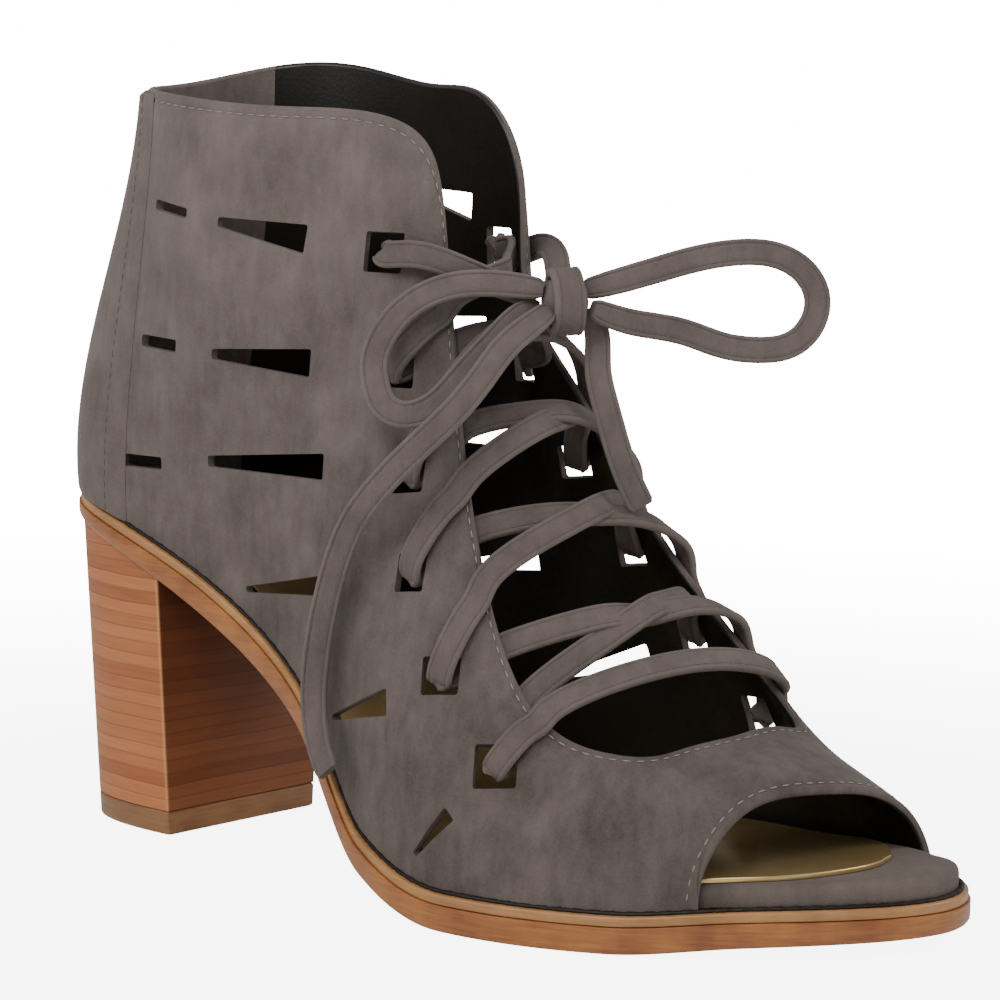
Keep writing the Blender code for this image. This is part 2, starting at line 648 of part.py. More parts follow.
def strand_route(row):
    """points and face directions of one strand, from the outer side to the inner side"""
    lift = GAP + LACE_THICK / 2 + 0.35
    ends = []
    for side, share, way, number in ((1, row["outer_share"], row["outer_way"], row["outer_row"]),
                                     (-1, row["inner_share"], row["inner_way"], row["inner_row"])):
        off = lift if way == "over" else -(WALL + lift + 0.7)
        eye = eyelet_share(number, side)
        top = np.array([share, 1.0])
        reach = 0.60 if way == "over" else 0.80
        start = eye + (top - eye) * reach
        marks = [start, start + (top - start) * 0.55, top]
        spots = []
        for mark in marks:
            n = skin_normal(mark[:1], np.minimum(mark[1:], 0.995))[0]
            spots.append((skin(mark[:1], mark[1:])[0] + n * off, n))
        rim = skin(top[:1], top[1:])[0]
        beyond = rim - skin(top[:1], top[1:] - 0.02)[0]
        beyond /= np.linalg.norm(beyond)
        clear = (off + 0.2, lift + 1.4) if way == "over" else (off - 0.3, 1.2)
        spots[-1] = (rim + spots[-1][1] * clear[0] + beyond * clear[1], spots[-1][1])
        ends.append(spots)
    outer, inner = ends
    middle = (outer[-1][0] + inner[-1][0]) / 2
    face = outer[-1][1] + inner[-1][1]
    face /= np.linalg.norm(face)
    middle = middle + face * row["arch"]
    spots = outer + [(middle, face)] + inner[::-1]
    return [s[0] for s in spots], [s[1] for s in spots]


def ribbon(name, row, kind, count=15):
    route, face = strand_route(row)
    both = through(np.hstack([route, face]), count)
    line, side = both[:, :3], both[:, 3:]
    run = np.gradient(line, axis=0)
    run /= np.linalg.norm(run, axis=1)[:, None]
    side -= run * (side * run).sum(1)[:, None]
    side /= np.linalg.norm(side, axis=1)[:, None]
    wide = np.cross(side, run)
    points = []
    for a, b in ((-1, -1), (1, -1), (1, 1), (-1, 1)):
        points.append(line + wide * a * LACE_WIDE / 2 + side * b * LACE_THICK / 2)
    points = np.vstack(points)
    faces = [(0, count, 2 * count, 3 * count), tuple(k * count + count - 1 for k in (3, 2, 1, 0))]
    for k in range(count - 1):
        for c in range(4):
            d = (c + 1) % 4
            faces.append((c * count + k, c * count + k + 1, d * count + k + 1, d * count + k))
    return add_mesh(name, points, faces, kind, angle=30.0)


def build_strands():
    made = {}
    for row in STRANDS:
        node = row["node"]
        if node not in made:
            made[node] = ribbon(node, row, "suede")
        else:
            partner = ribbon(node + "_partner_%.4f" % row["outer_share"], row, None)
            boolean(made[node], partner, "UNION")


def tube(name, route, diameter, count):
    points = place(through(route, count))
    curve = bpy.data.curves.new(name, "CURVE")
    curve.dimensions = "3D"
    curve.bevel_depth = diameter * 0.0005
    curve.bevel_resolution = 2
    curve.use_fill_caps = True
    spline = curve.splines.new("POLY")
    spline.points.add(len(points) - 1)
    for spot, point in zip(spline.points, points):
        spot.co = (point[0], point[1], point[2], 1.0)
    node = bpy.data.objects.new(name, curve)
    bpy.context.scene.collection.objects.link(node)
    curve.materials.append(paint(name, "suede"))
    return node


def build_loose_lace():
    tube("lace_knot", KNOT_ROUTE, 10.0, 4)
    tube("lace_loop_outer", LOOP_OUTER_ROUTE, CORD, 17)
    tube("lace_loop_inner", LOOP_INNER_ROUTE, CORD, 21)
    tube("lace_end_outer", TAIL_OUTER_ROUTE, CORD, 20)
    tube("lace_end_inner", TAIL_INNER_ROUTE, CORD, 8)
    tube("lace_lead_outer", LEAD_OUTER_ROUTE, CORD, 7)
    tube("lace_lead_inner", LEAD_INNER_ROUTE, CORD, 8)


build_sole()
build_heel()
build_upper()
build_strands()
build_loose_lace()
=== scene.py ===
# %% [markdown]
# # A lace-up heel with cut-out quarters
#
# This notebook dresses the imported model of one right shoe: an ankle-high sandal of taupe-grey
# suede with an open toe, laced over an open throat, on a stacked block heel.
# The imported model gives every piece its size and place, and here each piece gets its finish.
#
# All sizes are millimetres in three directions. `along` runs from the back of the heel to the
# toe, `side` is positive toward the wearer's right, which is the outer side, and `up` is the
# height over the floor. One function, `place`, turns them into Blender's metres.

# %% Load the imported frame
import math

import bmesh
import bpy
import numpy as np
from mathutils import Matrix, Vector


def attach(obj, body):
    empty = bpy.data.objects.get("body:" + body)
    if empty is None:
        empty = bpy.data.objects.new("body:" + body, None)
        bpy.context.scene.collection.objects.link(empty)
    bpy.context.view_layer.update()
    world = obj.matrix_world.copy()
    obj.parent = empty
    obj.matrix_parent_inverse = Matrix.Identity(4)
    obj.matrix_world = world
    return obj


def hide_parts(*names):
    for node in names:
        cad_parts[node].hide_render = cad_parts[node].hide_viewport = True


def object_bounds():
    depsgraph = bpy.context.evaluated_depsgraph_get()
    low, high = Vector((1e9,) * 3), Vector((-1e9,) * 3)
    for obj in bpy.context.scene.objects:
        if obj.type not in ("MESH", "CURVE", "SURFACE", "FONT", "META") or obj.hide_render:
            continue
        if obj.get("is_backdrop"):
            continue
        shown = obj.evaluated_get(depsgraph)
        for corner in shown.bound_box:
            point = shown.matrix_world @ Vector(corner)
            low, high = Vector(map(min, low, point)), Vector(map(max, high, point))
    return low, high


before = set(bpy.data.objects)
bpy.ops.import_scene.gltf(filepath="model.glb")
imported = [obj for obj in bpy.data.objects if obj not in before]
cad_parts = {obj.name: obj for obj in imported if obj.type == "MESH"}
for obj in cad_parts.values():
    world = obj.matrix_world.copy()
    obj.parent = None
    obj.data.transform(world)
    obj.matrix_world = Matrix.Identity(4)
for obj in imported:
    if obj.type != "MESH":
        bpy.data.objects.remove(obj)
cad_box = [[float(value) for value in corner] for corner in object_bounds()]
print("nodes in the frame:", len(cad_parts))

MIDDLE_ALONG = 116.5
MIDDLE_SIDE = 2.5


def place(points):
    """millimetres of along, side, up to metres: the toe points to -Y, the outer side to -X"""
    p = np.atleast_2d(np.asarray(points, float))
    return np.column_stack([MIDDLE_SIDE - p[:, 1], MIDDLE_ALONG - p[:, 0], p[:, 2]]) * 0.001


# %% [markdown]
# ## Camera, floor and light
#
# The camera was fitted to the outline of the sole, the heel and the collar, so its lens and its
# place are measured numbers. A long lens from 76 cm off flattens the shoe a little.
# The axes are set by hand instead of with a Track To constraint, because the picture is also
# turned by about one degree in its own plane.

# %% Camera
CAMERA_AT = Vector((-0.49041, -0.42160, 0.15366))
CAMERA_AIM = Vector((0.08856, 0.06689, 0.07307))
LENS = 104.66
SENSOR = 36.0
ROLL = math.radians(1.16)


def make_camera():
    data = bpy.data.cameras.new("camera")
    data.lens = LENS
    data.sensor_width = SENSOR
    data.clip_start = 0.01
    ahead = (CAMERA_AIM - CAMERA_AT).normalized()
    right = ahead.cross(Vector((0, 0, 1))).normalized()
    over = right.cross(ahead)
    x_axis = right * math.cos(ROLL) + over * math.sin(ROLL)
    y_axis = over * math.cos(ROLL) - right * math.sin(ROLL)
    camera = bpy.data.objects.new("camera", data)
    camera.matrix_world = Matrix((x_axis, y_axis, -ahead)).transposed().to_4x4()
    camera.location = CAMERA_AT
    bpy.context.scene.collection.objects.link(camera)
    bpy.context.scene.camera = camera
    return camera


make_camera()
print("camera", round((CAMERA_AIM - CAMERA_AT).length * 1000), "mm from its aim")

# %% [markdown]
# ## Colours and nodes
#
# Colours are easiest to judge as the hex values of a screen, but shaders work in linear light,
# so one function converts them. A second one adds a node with its settings and links, and a small
# class names the kinds of node that come back in every material: a material then reads as a short
# list of what it is made of.

# %% Helpers for materials


def ink(code):
    """an sRGB hex colour as linear red, green, blue and alpha"""
    parts = [int(code[k:k + 2], 16) / 255.0 for k in (0, 2, 4)]
    return [p / 12.92 if p <= 0.04045 else ((p + 0.055) / 1.055) ** 2.4 for p in parts] + [1.0]


def add_node(tree, kind, sockets=None, **settings):
    """one node: its settings by name, and its sockets set to a value or linked to an output"""
    made = tree.nodes.new(kind)
    for name, value in settings.items():
        setattr(made, name, value)
    for name, value in (sockets or {}).items():
        if isinstance(value, bpy.types.NodeSocket):
            tree.links.new(value, made.inputs[name])
        else:
            made.inputs[name].default_value = value
    return made


def per_mm(size):
    """texture scale for a pattern whose grain is this many millimetres, on coordinates in metres"""
    return 1000.0 / size


class Recipe:
    """a new material, with a short name for each kind of node that the recipes below are made of"""

    def __init__(self, name, **constants):
        self.material = bpy.data.materials.new(name)
        self.material.use_nodes = True
        self.tree = self.material.node_tree
        self.shader = self.tree.nodes["Principled BSDF"]
        for socket, value in constants.items():
            self.shader.inputs[socket.replace("_", " ")].default_value = value
        self.spot = add_node(self.tree, "ShaderNodeTexCoord").outputs["Object"]

    def maths(self, operation, first, second=0.0):
        return add_node(self.tree, "ShaderNodeMath", {0: first, 1: second}, operation=operation).outputs[0]

    def noise(self, size, vector=None, **sockets):
        sockets.update(Vector=vector or self.spot, Scale=per_mm(size))
        return add_node(self.tree, "ShaderNodeTexNoise", sockets).outputs[0]

    def cells(self, size):
        sockets = {"Vector": self.spot, "Scale": per_mm(size)}
        return add_node(self.tree, "ShaderNodeTexVoronoi", sockets).outputs["Distance"]

    def stretched(self, *scale):
        return add_node(self.tree, "ShaderNodeMapping", {"Vector": self.spot, "Scale": scale}).outputs[0]

    def height(self):
        return add_node(self.tree, "ShaderNodeSeparateXYZ", {0: self.spot}).outputs[2]

    def painted(self, attribute):
        return add_node(self.tree, "ShaderNodeAttribute", attribute_name=attribute).outputs["Fac"]

    def ramp(self, value, low, high, at_low=0.0, at_high=1.0, **settings):
        sockets = {"Value": value, 1: low, 2: high, 3: at_low, 4: at_high}
        return add_node(self.tree, "ShaderNodeMapRange", sockets, **settings).outputs[0]

    def blend(self, share, first, second):
        """a mix of two colours, each a hex code or the output of another mix"""
        pair = [ink(c) if isinstance(c, str) else c for c in (first, second)]
        sockets = {0: share, 6: pair[0], 7: pair[1]}
        return add_node(self.tree, "ShaderNodeMix", sockets, data_type="RGBA").outputs[2]

    def finish(self, colour, relief=None, strength=0.0, distance=0.0):
        """links the colour and the relief to the shader and gives the finished material"""
        self.tree.links.new(colour, self.shader.inputs["Base Color"])
        if relief:
            sockets = {"Height": relief, "Strength": strength, "Distance": distance}
            bump = add_node(self.tree, "ShaderNodeBump", sockets)
            self.tree.links.new(bump.outputs[0], self.shader.inputs["Normal"])
        return self.material


# %% Floor and soft studio light
WORLD_LIGHT = 0.42
FLOOR_GLOW = 6.5
FAR_GLOW = 16.0


def make_stage():
    paper = Recipe("matt white paper", Roughness=0.9, Emission_Color=ink("ffffff"))
    # Lit from behind as a light table is, more so far away; only the camera sees that light
    away = add_node(paper.tree, "ShaderNodeVectorMath", {0: paper.spot}, operation="LENGTH").outputs["Value"]
    glow = paper.ramp(away, 0.12, 0.75, FLOOR_GLOW, FAR_GLOW, interpolation_type="SMOOTHSTEP")
    seen = add_node(paper.tree, "ShaderNodeLightPath").outputs["Is Camera Ray"]
    paper.tree.links.new(paper.maths("MULTIPLY", glow, seen), paper.shader.inputs["Emission Strength"])
    mesh = bpy.data.meshes.new("floor")
    work = bmesh.new()
    bmesh.ops.create_grid(work, x_segments=2, y_segments=2, size=4.0)
    work.to_mesh(mesh)
    work.free()
    floor = bpy.data.objects.new("floor", mesh)
    floor.location.z = -0.0002
    spots = add_node(paper.tree, "ShaderNodeTexNoise", {"Scale": per_mm(300.0)}).outputs[0]
    mesh.materials.append(paper.finish(paper.blend(spots, "f7f7f7", "fcfcfc")))
    bpy.context.scene.collection.objects.link(floor)
    floor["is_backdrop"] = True


def make_lamp(name, spot, size, watts, aim=(0.0, 0.0, 0.07)):
    data = bpy.data.lights.new(name, "AREA")
    data.shape = "DISK"
    data.size = size
    data.energy = watts
    lamp = bpy.data.objects.new(name, data)
    lamp.location = spot
    turn = (Vector(aim) - Vector(spot)).to_track_quat("-Z", "Y")
    lamp.rotation_euler = turn.to_euler()
    bpy.context.scene.collection.objects.link(lamp)


def make_light():
    world = bpy.data.worlds.new("studio")
    world.use_nodes = True
    back = world.node_tree.nodes["Background"]
    back.inputs["Color"].default_value = ink("ffffff")
    seen = add_node(world.node_tree, "ShaderNodeLightPath")
    strength = add_node(world.node_tree, "ShaderNodeMapRange",
                        {"Value": seen.outputs["Is Camera Ray"], 3: WORLD_LIGHT, 4: FAR_GLOW})
    world.node_tree.links.new(strength.outputs[0], back.inputs["Strength"])
    bpy.context.scene.world = world
    make_lamp("key", (-0.95, -0.45, 1.0), 0.8, 8.5)
    make_lamp("left fill", (-1.05, 0.45, 0.75), 0.7, 4.2)
    make_lamp("toe fill", (0.75, -1.05, 0.8), 0.6, 5.5)


make_stage()
make_light()

# %% [markdown]
# ## The shape of the last
#
# A shoe is pulled over a wooden last, so nearly every surface follows from two things: the
# outline where the upper meets the sole, and ribs that rise from it to the topline.
# Both are kept as short tables of measured places. Smooth curves run through them, and every
# later piece asks the same two functions, `EDGE` and `skin`, where the leather is.

# %% Smooth curves through short tables


def table(columns, rows):
    names = columns.split()
    return [dict(zip(names, row)) for row in rows]


class Closed:
    """a smooth closed curve through rows of numbers, at knots from 0 to 1"""

    def __init__(self, knots, rows):
        P = np.asarray(rows, float)
        t = np.asarray(knots, float)
        m = len(P)
        h = np.append(np.diff(t), 1.0 - t[-1] + t[0])
        A = np.zeros((m, m))
        R = np.zeros((m, P.shape[1]))
        for i in range(m):
            before = h[i - 1]
            after = h[i]
            A[i, i - 1] += before
            A[i, i] += 2.0 * (before + after)
            A[i, (i + 1) % m] += after
            R[i] = 6.0 * ((P[(i + 1) % m] - P[i]) / after - (P[i] - P[i - 1]) / before)
        self.t, self.h, self.P, self.M, self.m = t, h, P, np.linalg.solve(A, R), m

    def __call__(self, u):
        u = np.atleast_1d(np.asarray(u, float))
        w = (u - self.t[0]) % 1.0 + self.t[0]
        k = np.clip(np.searchsorted(self.t, w, side="right") - 1, 0, self.m - 1)
        n = (k + 1) % self.m
        h = self.h[k][:, None]
        a = (w - self.t[k])[:, None]
        b = h - a
        M, P = self.M, self.P
        bend = (M[k] * b ** 3 + M[n] * a ** 3) / (6 * h)
        return bend + (P[k] / h - M[k] * h / 6) * b + (P[n] / h - M[n] * h / 6) * a


def smooth_steps(xs, ys, x):
    """a monotone cubic through the rows, so that a flat stretch stays flat"""
    xs, ys, x = (np.asarray(v, float) for v in (xs, ys, x))
    h = np.diff(xs)
    d = np.diff(ys) / h
    m = np.zeros(len(xs))
    for i in range(1, len(xs) - 1):
        if d[i - 1] * d[i] > 0:
            w1 = 2 * h[i] + h[i - 1]
            w2 = h[i] + 2 * h[i - 1]
            m[i] = (w1 + w2) / (w1 / d[i - 1] + w2 / d[i])
    m[0] = d[0]
    m[-1] = d[-1]
    x = np.clip(x, xs[0], xs[-1])
    k = np.clip(np.searchsorted(xs, x, side="right") - 1, 0, len(xs) - 2)
    t = (x - xs[k]) / h[k]
    return (ys[k] * (1 + 2 * t) * (1 - t) ** 2 + m[k] * h[k] * t * (1 - t) ** 2
            + ys[k + 1] * t * t * (3 - 2 * t) + m[k + 1] * h[k] * t * t * (t - 1))


def ease(t):
    t = np.clip(t, 0.0, 1.0)
    return t * t * (3 - 2 * t)


def distances(line):
    """how far each point of a line lies from its start, along the line"""
    return np.concatenate([[0], np.cumsum(np.linalg.norm(np.diff(line, axis=0), axis=1))])


# %% The outline of the sole and its profile
OUTLINE = table("place along side", [
    ("heel back", 0.0, 0.5),
    ("heel quarter, outer", 6.5, 21.5),
    ("heel seat, outer", 33.0, 30.0),
    ("waist, outer", 86.0, 31.8),
    ("ball, outer", 134.0, 47.0),
    ("little toe, outer", 172.0, 43.8),
    ("toe corner, outer", 206.0, 22.5),
    ("toe tip", 233.3, -13.0),
    ("toe corner, inner", 222.0, -36.0),
    ("big toe, inner", 194.0, -42.5),
    ("ball, inner", 156.0, -41.5),
    ("waist, inner", 92.0, -25.0),
    ("heel seat, inner", 34.0, -29.3),
    ("heel quarter, inner", 8.0, -20.5),
])
PROFILE = table("along bottom thick", [
    (0.0, 76.4, 5.0), (30.0, 66.6, 6.9), (60.0, 53.4, 8.2), (90.0, 35.2, 8.4), (120.0, 6.6, 8.0),
    (148.0, 0.0, 8.0), (184.0, 0.0, 8.0), (206.0, 2.2, 7.6), (232.0, 3.8, 7.0),
])


def outline_curve():
    rows = np.array([(r["along"], r["side"]) for r in OUTLINE])
    step = np.sqrt(np.linalg.norm(np.roll(rows, -1, 0) - rows, axis=1))
    knots = np.concatenate([[0], np.cumsum(step)[:-1]]) / step.sum()
    dense = Closed(knots, rows)(np.linspace(0, 1, 1200, endpoint=False))
    length = np.linalg.norm(np.roll(dense, -1, 0) - dense, axis=1)
    share = np.concatenate([[0], np.cumsum(length)[:-1]]) / length.sum()
    pick = np.arange(0, 1200, 10)
    return Closed(share[pick], dense[pick]), length.sum()


EDGE, GIRTH = outline_curve()


def outward(u):
    d = EDGE(np.asarray(u) + 1e-4) - EDGE(np.asarray(u) - 1e-4)
    n = np.stack([-d[:, 1], d[:, 0]], -1)
    n /= np.linalg.norm(n, axis=1)[:, None]
    return n


def sole_bottom(along):
    return smooth_steps([r["along"] for r in PROFILE], [r["bottom"] for r in PROFILE], along)


def sole_top(along):
    thick = smooth_steps([r["along"] for r in PROFILE], [r["thick"] for r in PROFILE], along)
    return sole_bottom(along) + thick


print("girth of the sole:", round(GIRTH), "mm")

# %% The ribs of the upper and the skin through them
FEATHER_INSET = 2.0
RIBS = table("place side along top_along top_side top_up belly rise shoulder drop", [
    ("heel back", 1, 0.0, 22.0, 0.0, 178.5, 5, 30, 4, 32),
    ("heel side", 1, 20.0, 31.5, 23.0, 176.0, 3, 30, 2, 34),
    ("quarter", 1, 48.0, 52.0, 30.0, 173.5, 2, 32, 1, 36),
    ("ankle", 1, 74.0, 80.0, 25.5, 171.5, 1, 34, 4, 38),
    ("collar corner", 1, 95.0, 106.0, 16.0, 168.0, 1, 38, 8, 42),
    ("throat head", 1, 107.0, 115.5, 14.0, 155.0, 1, 38, 11, 42),
    ("throat high", 1, 118.0, 118.5, 13.5, 131.0, 2, 34, 14, 36),
    ("throat mid", 1, 131.0, 126.0, 19.0, 108.0, 2, 30, 14, 30),
    ("throat low", 1, 147.0, 138.5, 25.5, 77.0, 2, 24, 12, 24),
    ("throat foot", 1, 163.0, 154.0, 29.5, 50.0, 2, 16, 9, 12),
    ("vamp side", 1, 183.0, 174.5, 26.0, 39.0, 1, 12, 10, 3),
    ("vamp top", 1, 210.0, 183.5, 12.0, 39.3, 0, 12, 12, 3),
    ("toe tip", 1, 233.3, 186.0, -4.0, 40.6, 0, 12, 15, 4),
    ("vamp top, inner", -1, 222.0, 188.0, -16.0, 41.0, 0, 12, 10, 5),
    ("vamp side, inner", -1, 203.0, 187.5, -25.0, 40.5, 0, 12, 8, 5),
    ("throat foot, inner", -1, 182.0, 171.0, -29.5, 53.0, 1, 16, 8, 12),
    ("throat low, inner", -1, 162.0, 146.5, -24.7, 81.0, 2, 24, 12, 24),
    ("throat mid, inner", -1, 142.0, 129.5, -17.5, 111.0, 2, 30, 12, 30),
    ("throat high, inner", -1, 124.0, 119.0, -12.5, 133.0, 2, 34, 12, 36),
    ("throat head, inner", -1, 109.0, 115.5, -14.0, 158.0, 1, 38, 10, 42),
    ("collar corner, inner", -1, 95.0, 105.0, -16.0, 174.0, 1, 38, 8, 42),
    ("ankle, inner", -1, 74.0, 80.0, -25.5, 178.5, 1, 34, 4, 38),
    ("quarter, inner", -1, 48.0, 52.0, -30.0, 183.0, 2, 32, 1, 36),
    ("heel side, inner", -1, 20.0, 31.5, -23.0, 183.5, 3, 30, 2, 34),
])


def share_at(along, side):
    u = np.linspace(0, 1, 4001)[:-1]
    E = EDGE(u)
    tip = u[np.argmax(E[:, 0])]
    if along <= 0:
        return 0.0
    if along >= E[:, 0].max():
        return tip
    ok = (u <= tip) if side > 0 else (u >= tip)
    return u[ok][np.argmin(np.abs(E[ok, 0] - along))]


knots = [share_at(r["along"], r["side"]) for r in RIBS]
TOP = Closed(knots, [(r["top_along"], r["top_side"], r["top_up"]) for r in RIBS])
LEAN = Closed(knots, [(r["belly"], r["rise"], r["shoulder"], r["drop"]) for r in RIBS])
TIP_SHARE = share_at(999.0, 1)


def skin(u, v):
    """outer face of the leather: u is the share round the sole, v runs from the sole to the topline"""
    u = np.atleast_1d(np.asarray(u, float))
    v = np.atleast_1d(np.asarray(v, float))[:, None]
    e = EDGE(u) - FEATHER_INSET * outward(u)
    B = np.column_stack([e, sole_top(e[:, 0]) + 0.3])
    T = TOP(u)
    L = LEAN(u)
    o = np.column_stack([outward(u), np.zeros(len(u))])
    up = np.array([0, 0, 1.0])
    P1 = B + o * L[:, 0:1] + up * L[:, 1:2]
    P2 = T + o * L[:, 2:3] - up * L[:, 3:4]
    return B * (1 - v) ** 3 + 3 * P1 * v * (1 - v) ** 2 + 3 * P2 * v * v * (1 - v) + T * v ** 3


def skin_normal(u, v, e=2e-4):
    u = np.atleast_1d(np.asarray(u, float))
    v = np.atleast_1d(np.asarray(v, float))
    du = skin(u + e, v) - skin(u - e, v)
    dv = skin(u, v + e) - skin(u, v - e)
    n = np.cross(dv, du)
    n /= np.linalg.norm(n, axis=1)[:, None] + 1e-12
    return n


def skin_slopes(here, e=1e-4):
    """a place on the skin, and how it moves with the share and with the height"""
    at = skin(here[:1], here[1:])[0]
    du = (skin(here[:1] + e, here[1:])[0] - at) / e
    dv = (skin(here[:1], here[1:] + e)[0] - at) / e
    return at, np.column_stack([du, dv])


def find_share(side, along, up):
    """share and height of the skin at a place seen from the side"""
    span = (0.02, TIP_SHARE) if side > 0 else (TIP_SHARE, 0.98)
    u, v = np.meshgrid(np.linspace(span[0], span[1], 160), np.linspace(0, 1, 80), indexing="ij")
    u, v = u.ravel(), v.ravel()
    p = skin(u, v)
    k = np.argmin((p[:, 0] - along) ** 2 + (p[:, 2] - up) ** 2)
    here = np.array([u[k], v[k]])
    for turn in range(4):
        at, slopes = skin_slopes(here)
        here = here + np.linalg.solve(slopes[[0, 2]], np.array([along - at[0], up - at[2]]))
    return here


print("topline runs from", TOP(knots[0])[0].round(), "to", TOP(knots[12])[0].round())

# %% Where the slots and the lace eyelets are cut
CUTS = table("place back_along back_up front_along front_up back_high front_high", [
    ("row 1 short", 41.0, 149.0, 52.6, 147.0, 2.4, 2.4),
    ("row 1 wedge", 62.6, 145.4, 86.0, 142.0, 2.2, 6.6),
    ("row 1 eyelet", 100.4, 139.8, 109.6, 139.6, 9.0, 9.0),
    ("row 2 short", 36.8, 117.4, 49.0, 116.5, 2.8, 3.0),
    ("row 2 wedge", 60.7, 115.4, 89.0, 114.6, 2.3, 6.4),
    ("row 2 eyelet", 106.5, 114.3, 115.0, 114.4, 8.2, 8.2),
    ("row 3 short", 29.5, 88.9, 43.6, 88.9, 3.0, 3.0),
    ("row 3 wedge", 59.0, 90.7, 94.9, 92.0, 2.5, 6.0),
    ("row 3 eyelet", 114.3, 91.6, 122.6, 92.4, 7.8, 7.8),
    ("row 4 wedge", 71.0, 62.2, 101.0, 66.5, 1.4, 5.0),
    ("row 4 eyelet", 121.8, 71.6, 129.4, 72.4, 8.6, 8.6),
    ("row 5 wedge", 105.0, 38.0, 126.0, 44.9, 1.2, 6.0),
    ("row 5 eyelet", 135.0, 51.5, 142.8, 52.1, 8.4, 8.4),
    ("row 6 wedge", 139.6, 14.8, 148.6, 24.9, 1.2, 3.6),
    ("row 6 eyelet", 151.7, 34.8, 160.2, 35.5, 9.6, 9.6),
])
# The throat edge lies further forward on the inner side, and the openings go with it
INNER_SHIFT = table("up along raise slot_along slot_raise", [
    (10.0, 10.0, 0.0, 0.0, 0.0), (40.0, 14.0, 4.0, 0.0, 0.0), (70.0, 13.0, 2.0, 0.0, 0.0),
    (95.0, 7.0, 1.0, 8.0, 5.0), (120.0, 2.0, 0.0, 8.0, 7.0), (150.0, 0.0, 2.0, 9.0, 6.0),
])


def cut_places(row, side):
    back = np.array([row["back_along"], row["back_up"]])
    front = np.array([row["front_along"], row["front_up"]])
    if side < 0:
        more = 0.0 if "eyelet" in row["place"] else 1.0
        ups = [r["up"] for r in INNER_SHIFT]
        for end in (back, front):
            end += [np.interp(end[1], ups, [r["along"] + more * r["slot_along"] for r in INNER_SHIFT]),
                    np.interp(end[1], ups, [r["raise"] + more * r["slot_raise"] for r in INNER_SHIFT])]
    return back, front


def eyelet_share(number, side):
    row = [r for r in CUTS if r["place"] == "row %d eyelet" % number][0]
    back, front = cut_places(row, side)
    return find_share(side, *((back + front) / 2))


EYELETS = {(n, s): eyelet_share(n, s) for n in range(1, 7) for s in (1, -1)}
print("openings on each side:", len(CUTS), "of which eyelets:", len(EYELETS) // 2)

# %% [markdown]
# ## Suede
#
# Suede is the flesh side of split leather, sanded until short fibres stand up. The nap scatters
# light, so there is no gloss, but fibres seen edge-on catch light: that is what sheen gives.
# Where a hand has brushed it, patches lie darker or lighter. Real fibres are about 0.05 mm, too
# fine to show, so the nap is drawn ten times as coarse.

# %% Suede, as one recipe for the upper, the lace and the insole edge
NAP = 0.6
BRUSHED_PATCH = 17.0
RUBBED = "80766e"


def suede(name, dark, light, sheen=0.3, attribute=None, painted_top_light=0.0):
    """the last argument is painted light: the colour grows this much lighter from low on the shoe to high on
    it, as if lit from above
    """
    made = Recipe(name, Roughness=0.94, Specular_IOR_Level=0.15, Sheen_Weight=sheen, Sheen_Roughness=0.4,
                  Sheen_Tint=ink("d2cec4"))
    patch = made.noise(BRUSHED_PATCH, Detail=4.0, Roughness=0.62)
    streak = made.noise(2.6, made.stretched(1.0, 1.0, 0.3), Detail=3.0)
    nap = made.noise(NAP, Detail=2.0, Roughness=0.7)
    mood = made.maths("ADD", patch, made.maths("MULTIPLY", streak, 0.45))
    total = made.maths("ADD", mood, made.maths("MULTIPLY", nap, 0.35))
    # Painted light: the colour is lighter high on the shoe and darker low down, for light falling from above
    rise = made.ramp(made.height(), 0.03, 0.17, -painted_top_light / 2, painted_top_light / 2)
    colour = made.blend(made.ramp(made.maths("ADD", total, rise), 0.50, 1.30), dark, light)
    if attribute:
        colour = made.blend(made.painted(attribute), colour, RUBBED)
    return made.finish(colour, nap, 0.55, 0.00025)


# The upper's suede is painted lighter toward the collar and darker toward the sole, for light from above
SUEDE = suede("brushed taupe suede", "4f4643", "7b706b", 0.18, painted_top_light=0.30)
LACE_SUEDE = suede("folded suede lace", "564c49", "776c68", 0.16, "edge")
print("suede recipes:", SUEDE.name, "and", LACE_SUEDE.name)

# %% [markdown]
# ## The lace
#
# The lace is a suede strap 6 mm wide, folded and stitched flat, so its edges are round
# and paler where the nap is rubbed. A bevelled curve would give a round cord, so the strap is
# swept by hand: one flat cross-section with rounded edges is carried along a smooth line, and a
# second direction says which way its width lies. It is limp, 1.9 mm thick, and its two loose ends
# are simply cut, as they are on the real shoe.

# %% A smooth line through a route and a flat strap swept along it
LACE_WIDE = 6.0
LACE_THICK = 1.9
HALF_SECTION = table("across over", [
    (-1.0, 0.0), (-0.97, 0.55), (-0.91, 0.86), (-0.81, 1.0), (-0.71, 0.96), (-0.65, 0.78),
    (-0.58, 0.95), (-0.32, 1.0), (0.0, 0.96),
])


